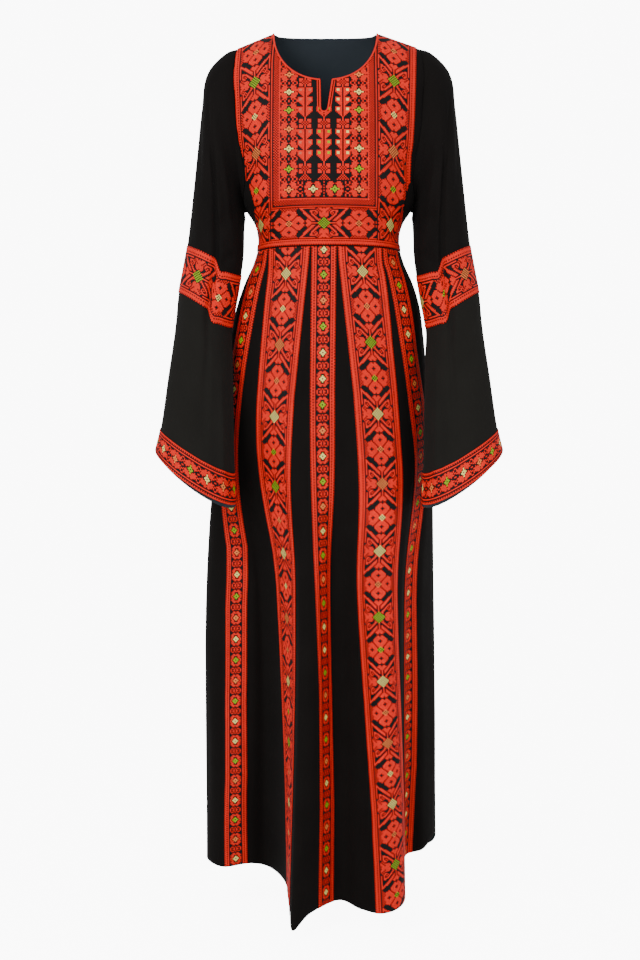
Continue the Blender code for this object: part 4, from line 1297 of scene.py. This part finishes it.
# ---- Waist panel and belt border ----
# The wide pattern turned on its side under the chest panel, and a narrow dotted border right across the
# waist seam below it.
waist_codes = repeated(wide_motif, CHEST_COLUMNS, 26 - 39, (PEACH, PEACH), (GREEN,)).T
waist_rows = waist_codes.shape[0]
waist_z = np.linspace(PANEL_BOTTOM_Z - 0.0006, BORDER_TOP_Z + 0.0006, waist_rows + 1)
waist_x = np.array([mix(panel_edge_x(z, -1), panel_edge_x(z, 1), spread) for z in waist_z])
points = on_bodice(waist_x, np.repeat(waist_z[:, None], CHEST_COLUMNS + 1, axis=1), False)
points = creased(points, outward(points))
stitched_band("waist_panel_stitched", "waist_panel", points, waist_codes)

border_codes = np.tile(chart("##",
                             "#.",
                             "##",
                             "##",
                             ".#"), (1, 85))
border_z = np.linspace(BORDER_TOP_Z - 0.0002, WAIST_Z + 0.0002, len(border_codes) + 1)
points = []
for z in border_z:
    x = 0.9995 * bodice_level(z, 1) * np.sin(np.linspace(-math.pi / 2, math.pi / 2, LINE_STEPS))
    line = on_bodice(x, np.full(LINE_STEPS, z), False)
    lengths = run_lengths(line)
    points.append(read_along(line, lengths, np.linspace(0, lengths[-1], border_codes.shape[1] + 1)))
points = np.array(points)
points = creased(points, outward(points))
stitched_band("waist_border_stitched", "waist_border", points, border_codes)

# ---- Elbow and cuff bands ----
# A band of the wide pattern is turned across each sleeve over the elbow seam, and a band of rosettes
# edges the bell. Both go all round the sleeve.
ELBOW_TURN = 156
ELBOW_START = -2
CUFF_TURN = 210
SLEEVE_TURN_STEPS = 480
cuff_field = np.concatenate((rosette, rosette_curls))


def band_rows(first, last, rows, columns, side):
    """Places on a sleeve between two rings, at even steps down and round it."""
    lines = []
    runs = np.linspace(ring_run(first), ring_run(last), rows + 1)
    for line in sleeve_surface(runs, np.linspace(0, 1, SLEEVE_TURN_STEPS + 1)):
        lengths = run_lengths(line)
        lines.append(read_along(line, lengths, np.linspace(0, lengths[-1], columns + 1)))
    return sided(np.array(lines), side)


for side, hand in ((-1, "right"), (1, "left")):
    field = repeated(wide_motif, ELBOW_TURN, ELBOW_START, (PEACH, CREAM, GREEN), (GREEN, CREAM, PEACH))
    codes = bordered(field, wide_border).T
    points = band_rows(ELBOW_TOP_RING, ELBOW_BOTTOM_RING, codes.shape[0], ELBOW_TURN, side)
    stitched_band("elbow_band_" + hand + "_stitched", "elbow_band_" + hand, points, codes,
                  ring=True)
    turns = np.arange(CUFF_TURN)
    field = cuff_field[np.mod(turns, len(cuff_field))]
    threads = np.array((GREEN, CREAM, PEACH))[np.mod(turns // len(cuff_field), 3)]
    field = np.where(field == STAR, threads[:, None], field).T
    edge = np.tile(chart("#", "#", ".", "#", "."), (1, CUFF_TURN))
    edge[1, ::2] = BARE
    codes = np.concatenate((edge, field, edge[::-1]))
    points = band_rows(CUFF_TOP_RING, CUFF_TOP_RING + 1, codes.shape[0], CUFF_TURN, side)
    stitched_band("cuff_band_" + hand + "_stitched", "cuff_band_" + hand, points, codes,
                  ring=True)

# ---- Neck binding ----
# Red cord is couched along the front of the neckline and twice round the slit, which is left bare
# between its two lines.
PIPING_WIDTH = 0.0032
PIPING_HEIGHT = 0.0016
PIPING_STEPS = 7
SLIT_GAP = 0.0052


def neckline(side):
    """Front edge of the opening from one neck point to the slit."""
    turn = np.linspace(0.0, math.pi / 2, 90)
    x = NECK_CENTRE_X + side * NECK_HALF * np.cos(turn) ** (2 / NECK_POWER)
    z = -NECK_DROP * np.sin(turn) ** (2 / NECK_POWER)
    keep = side * (x - slit_x(z)) > SLIT_HALF_TOP + 0.001
    return np.stack((x[keep], z[keep]), axis=1)


def binding_path():
    """The opening's edge from the right neck point, round the slit, to the left neck point."""
    down = np.linspace(-NECK_DROP + 0.001, SLIT_BOTTOM_Z + 0.003, 24)
    slit_right = np.stack((slit_x(down) - slit_half(down), down), axis=1)
    slit_left = np.stack((slit_x(down) + slit_half(down), down), axis=1)[::-1]
    foot = np.linspace(math.pi, 2 * math.pi, 9)[1:-1]
    round_foot = np.stack((CENTRE_X + SLIT_HALF_BOTTOM * np.cos(foot),
                           SLIT_BOTTOM_Z + 0.003 + SLIT_HALF_BOTTOM * np.sin(foot)), axis=1)
    path = np.concatenate((neckline(-1), slit_right, round_foot, slit_left, neckline(1)[::-1]))
    lengths = run_lengths(path)
    even = np.arange(0, lengths[-1], 0.0016)
    path = np.stack([np.interp(even, lengths, path[:, k]) for k in (0, 1)], axis=1)
    for _ in range(3):
        path[1:-1] = (path[:-2] + 2 * path[1:-1] + path[2:]) / 4
    return path


def piping(name, path, offset, width):
    """Rounded cord laid on the cloth beside the opening's edge."""
    along = np.gradient(path, axis=0)
    along /= np.linalg.norm(along, axis=1, keepdims=True)
    away = np.stack((along[:, 1], -along[:, 0]), axis=1)
    across = np.linspace(0, 1, PIPING_STEPS + 1)
    spots = path[:, None] + away[:, None] * (offset + width * across)[None, :, None]
    points = on_bodice(spots[..., 0], np.minimum(spots[..., 1], -0.0004), False)
    normals = outward(points)
    if (normals[..., 1].mean()) > 0:
        points = points[:, ::-1]
        normals = outward(points)
    hump = 0.0004 + PIPING_HEIGHT * np.sqrt(np.clip(1 - (2 * across - 1) ** 2, 0, 1))
    points = points + normals * hump[None, :, None]
    cord = new_grid(name, points.shape[0] - 1, PIPING_STEPS)
    lay(cord, points, width, run_lengths(path)[-1])
    cord.data.materials.append(red_cord)
    thicken(cord, 0.0005)
    return cord


red_cord = bpy.data.materials.new("red_cord")
red_cord.use_nodes = True
cord_tree = red_cord.node_tree
cord_shader = cord_tree.nodes["Principled BSDF"]
cord_shader.inputs["Roughness"].default_value = 0.6
cord_shader.inputs["Specular IOR Level"].default_value = 0.15
cord_shader.inputs["Sheen Weight"].default_value = 0.01
cord_uv = cord_tree.nodes.new("ShaderNodeUVMap")
cord_uv.uv_map = "cloth"
twist = cord_tree.nodes.new("ShaderNodeTexWave")
twist.bands_direction = "DIAGONAL"
twist.inputs["Scale"].default_value = 260.0
twist.inputs["Distortion"].default_value = 0.6
cord_tree.links.new(cord_uv.outputs[0], twist.inputs["Vector"])
cord_tone = cord_tree.nodes.new("ShaderNodeMix")
cord_tone.data_type = "RGBA"
cord_tone.inputs["A"].default_value = (0.55, 0.008, 0.002, 1.0)
cord_tone.inputs["B"].default_value = (0.88, 0.016, 0.003, 1.0)
cord_tree.links.new(twist.outputs["Fac"], cord_tone.inputs["Factor"])
cord_tree.links.new(cord_tone.outputs["Result"], cord_shader.inputs["Base Color"])
cord_bump = cord_tree.nodes.new("ShaderNodeBump")
cord_bump.inputs["Strength"].default_value = 0.4
cord_bump.inputs["Distance"].default_value = 0.0004
cord_tree.links.new(twist.outputs["Fac"], cord_bump.inputs["Height"])
cord_tree.links.new(cord_bump.outputs[0], cord_shader.inputs["Normal"])

edge_path = binding_path()
inner_cord = piping("neck_binding_cord", edge_path, 0.0, PIPING_WIDTH)
slit_part = edge_path[(np.abs(edge_path[:, 0] - slit_x(edge_path[:, 1])) < SLIT_HALF_TOP + 0.002)
                      & (edge_path[:, 1] < -NECK_DROP + 0.0005)]
outer_cord = piping("slit_outer_cord", slit_part, SLIT_GAP - 0.0010, 0.0022)
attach(inner_cord, "root")
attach(outer_cord, "root")
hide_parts("neck_binding")
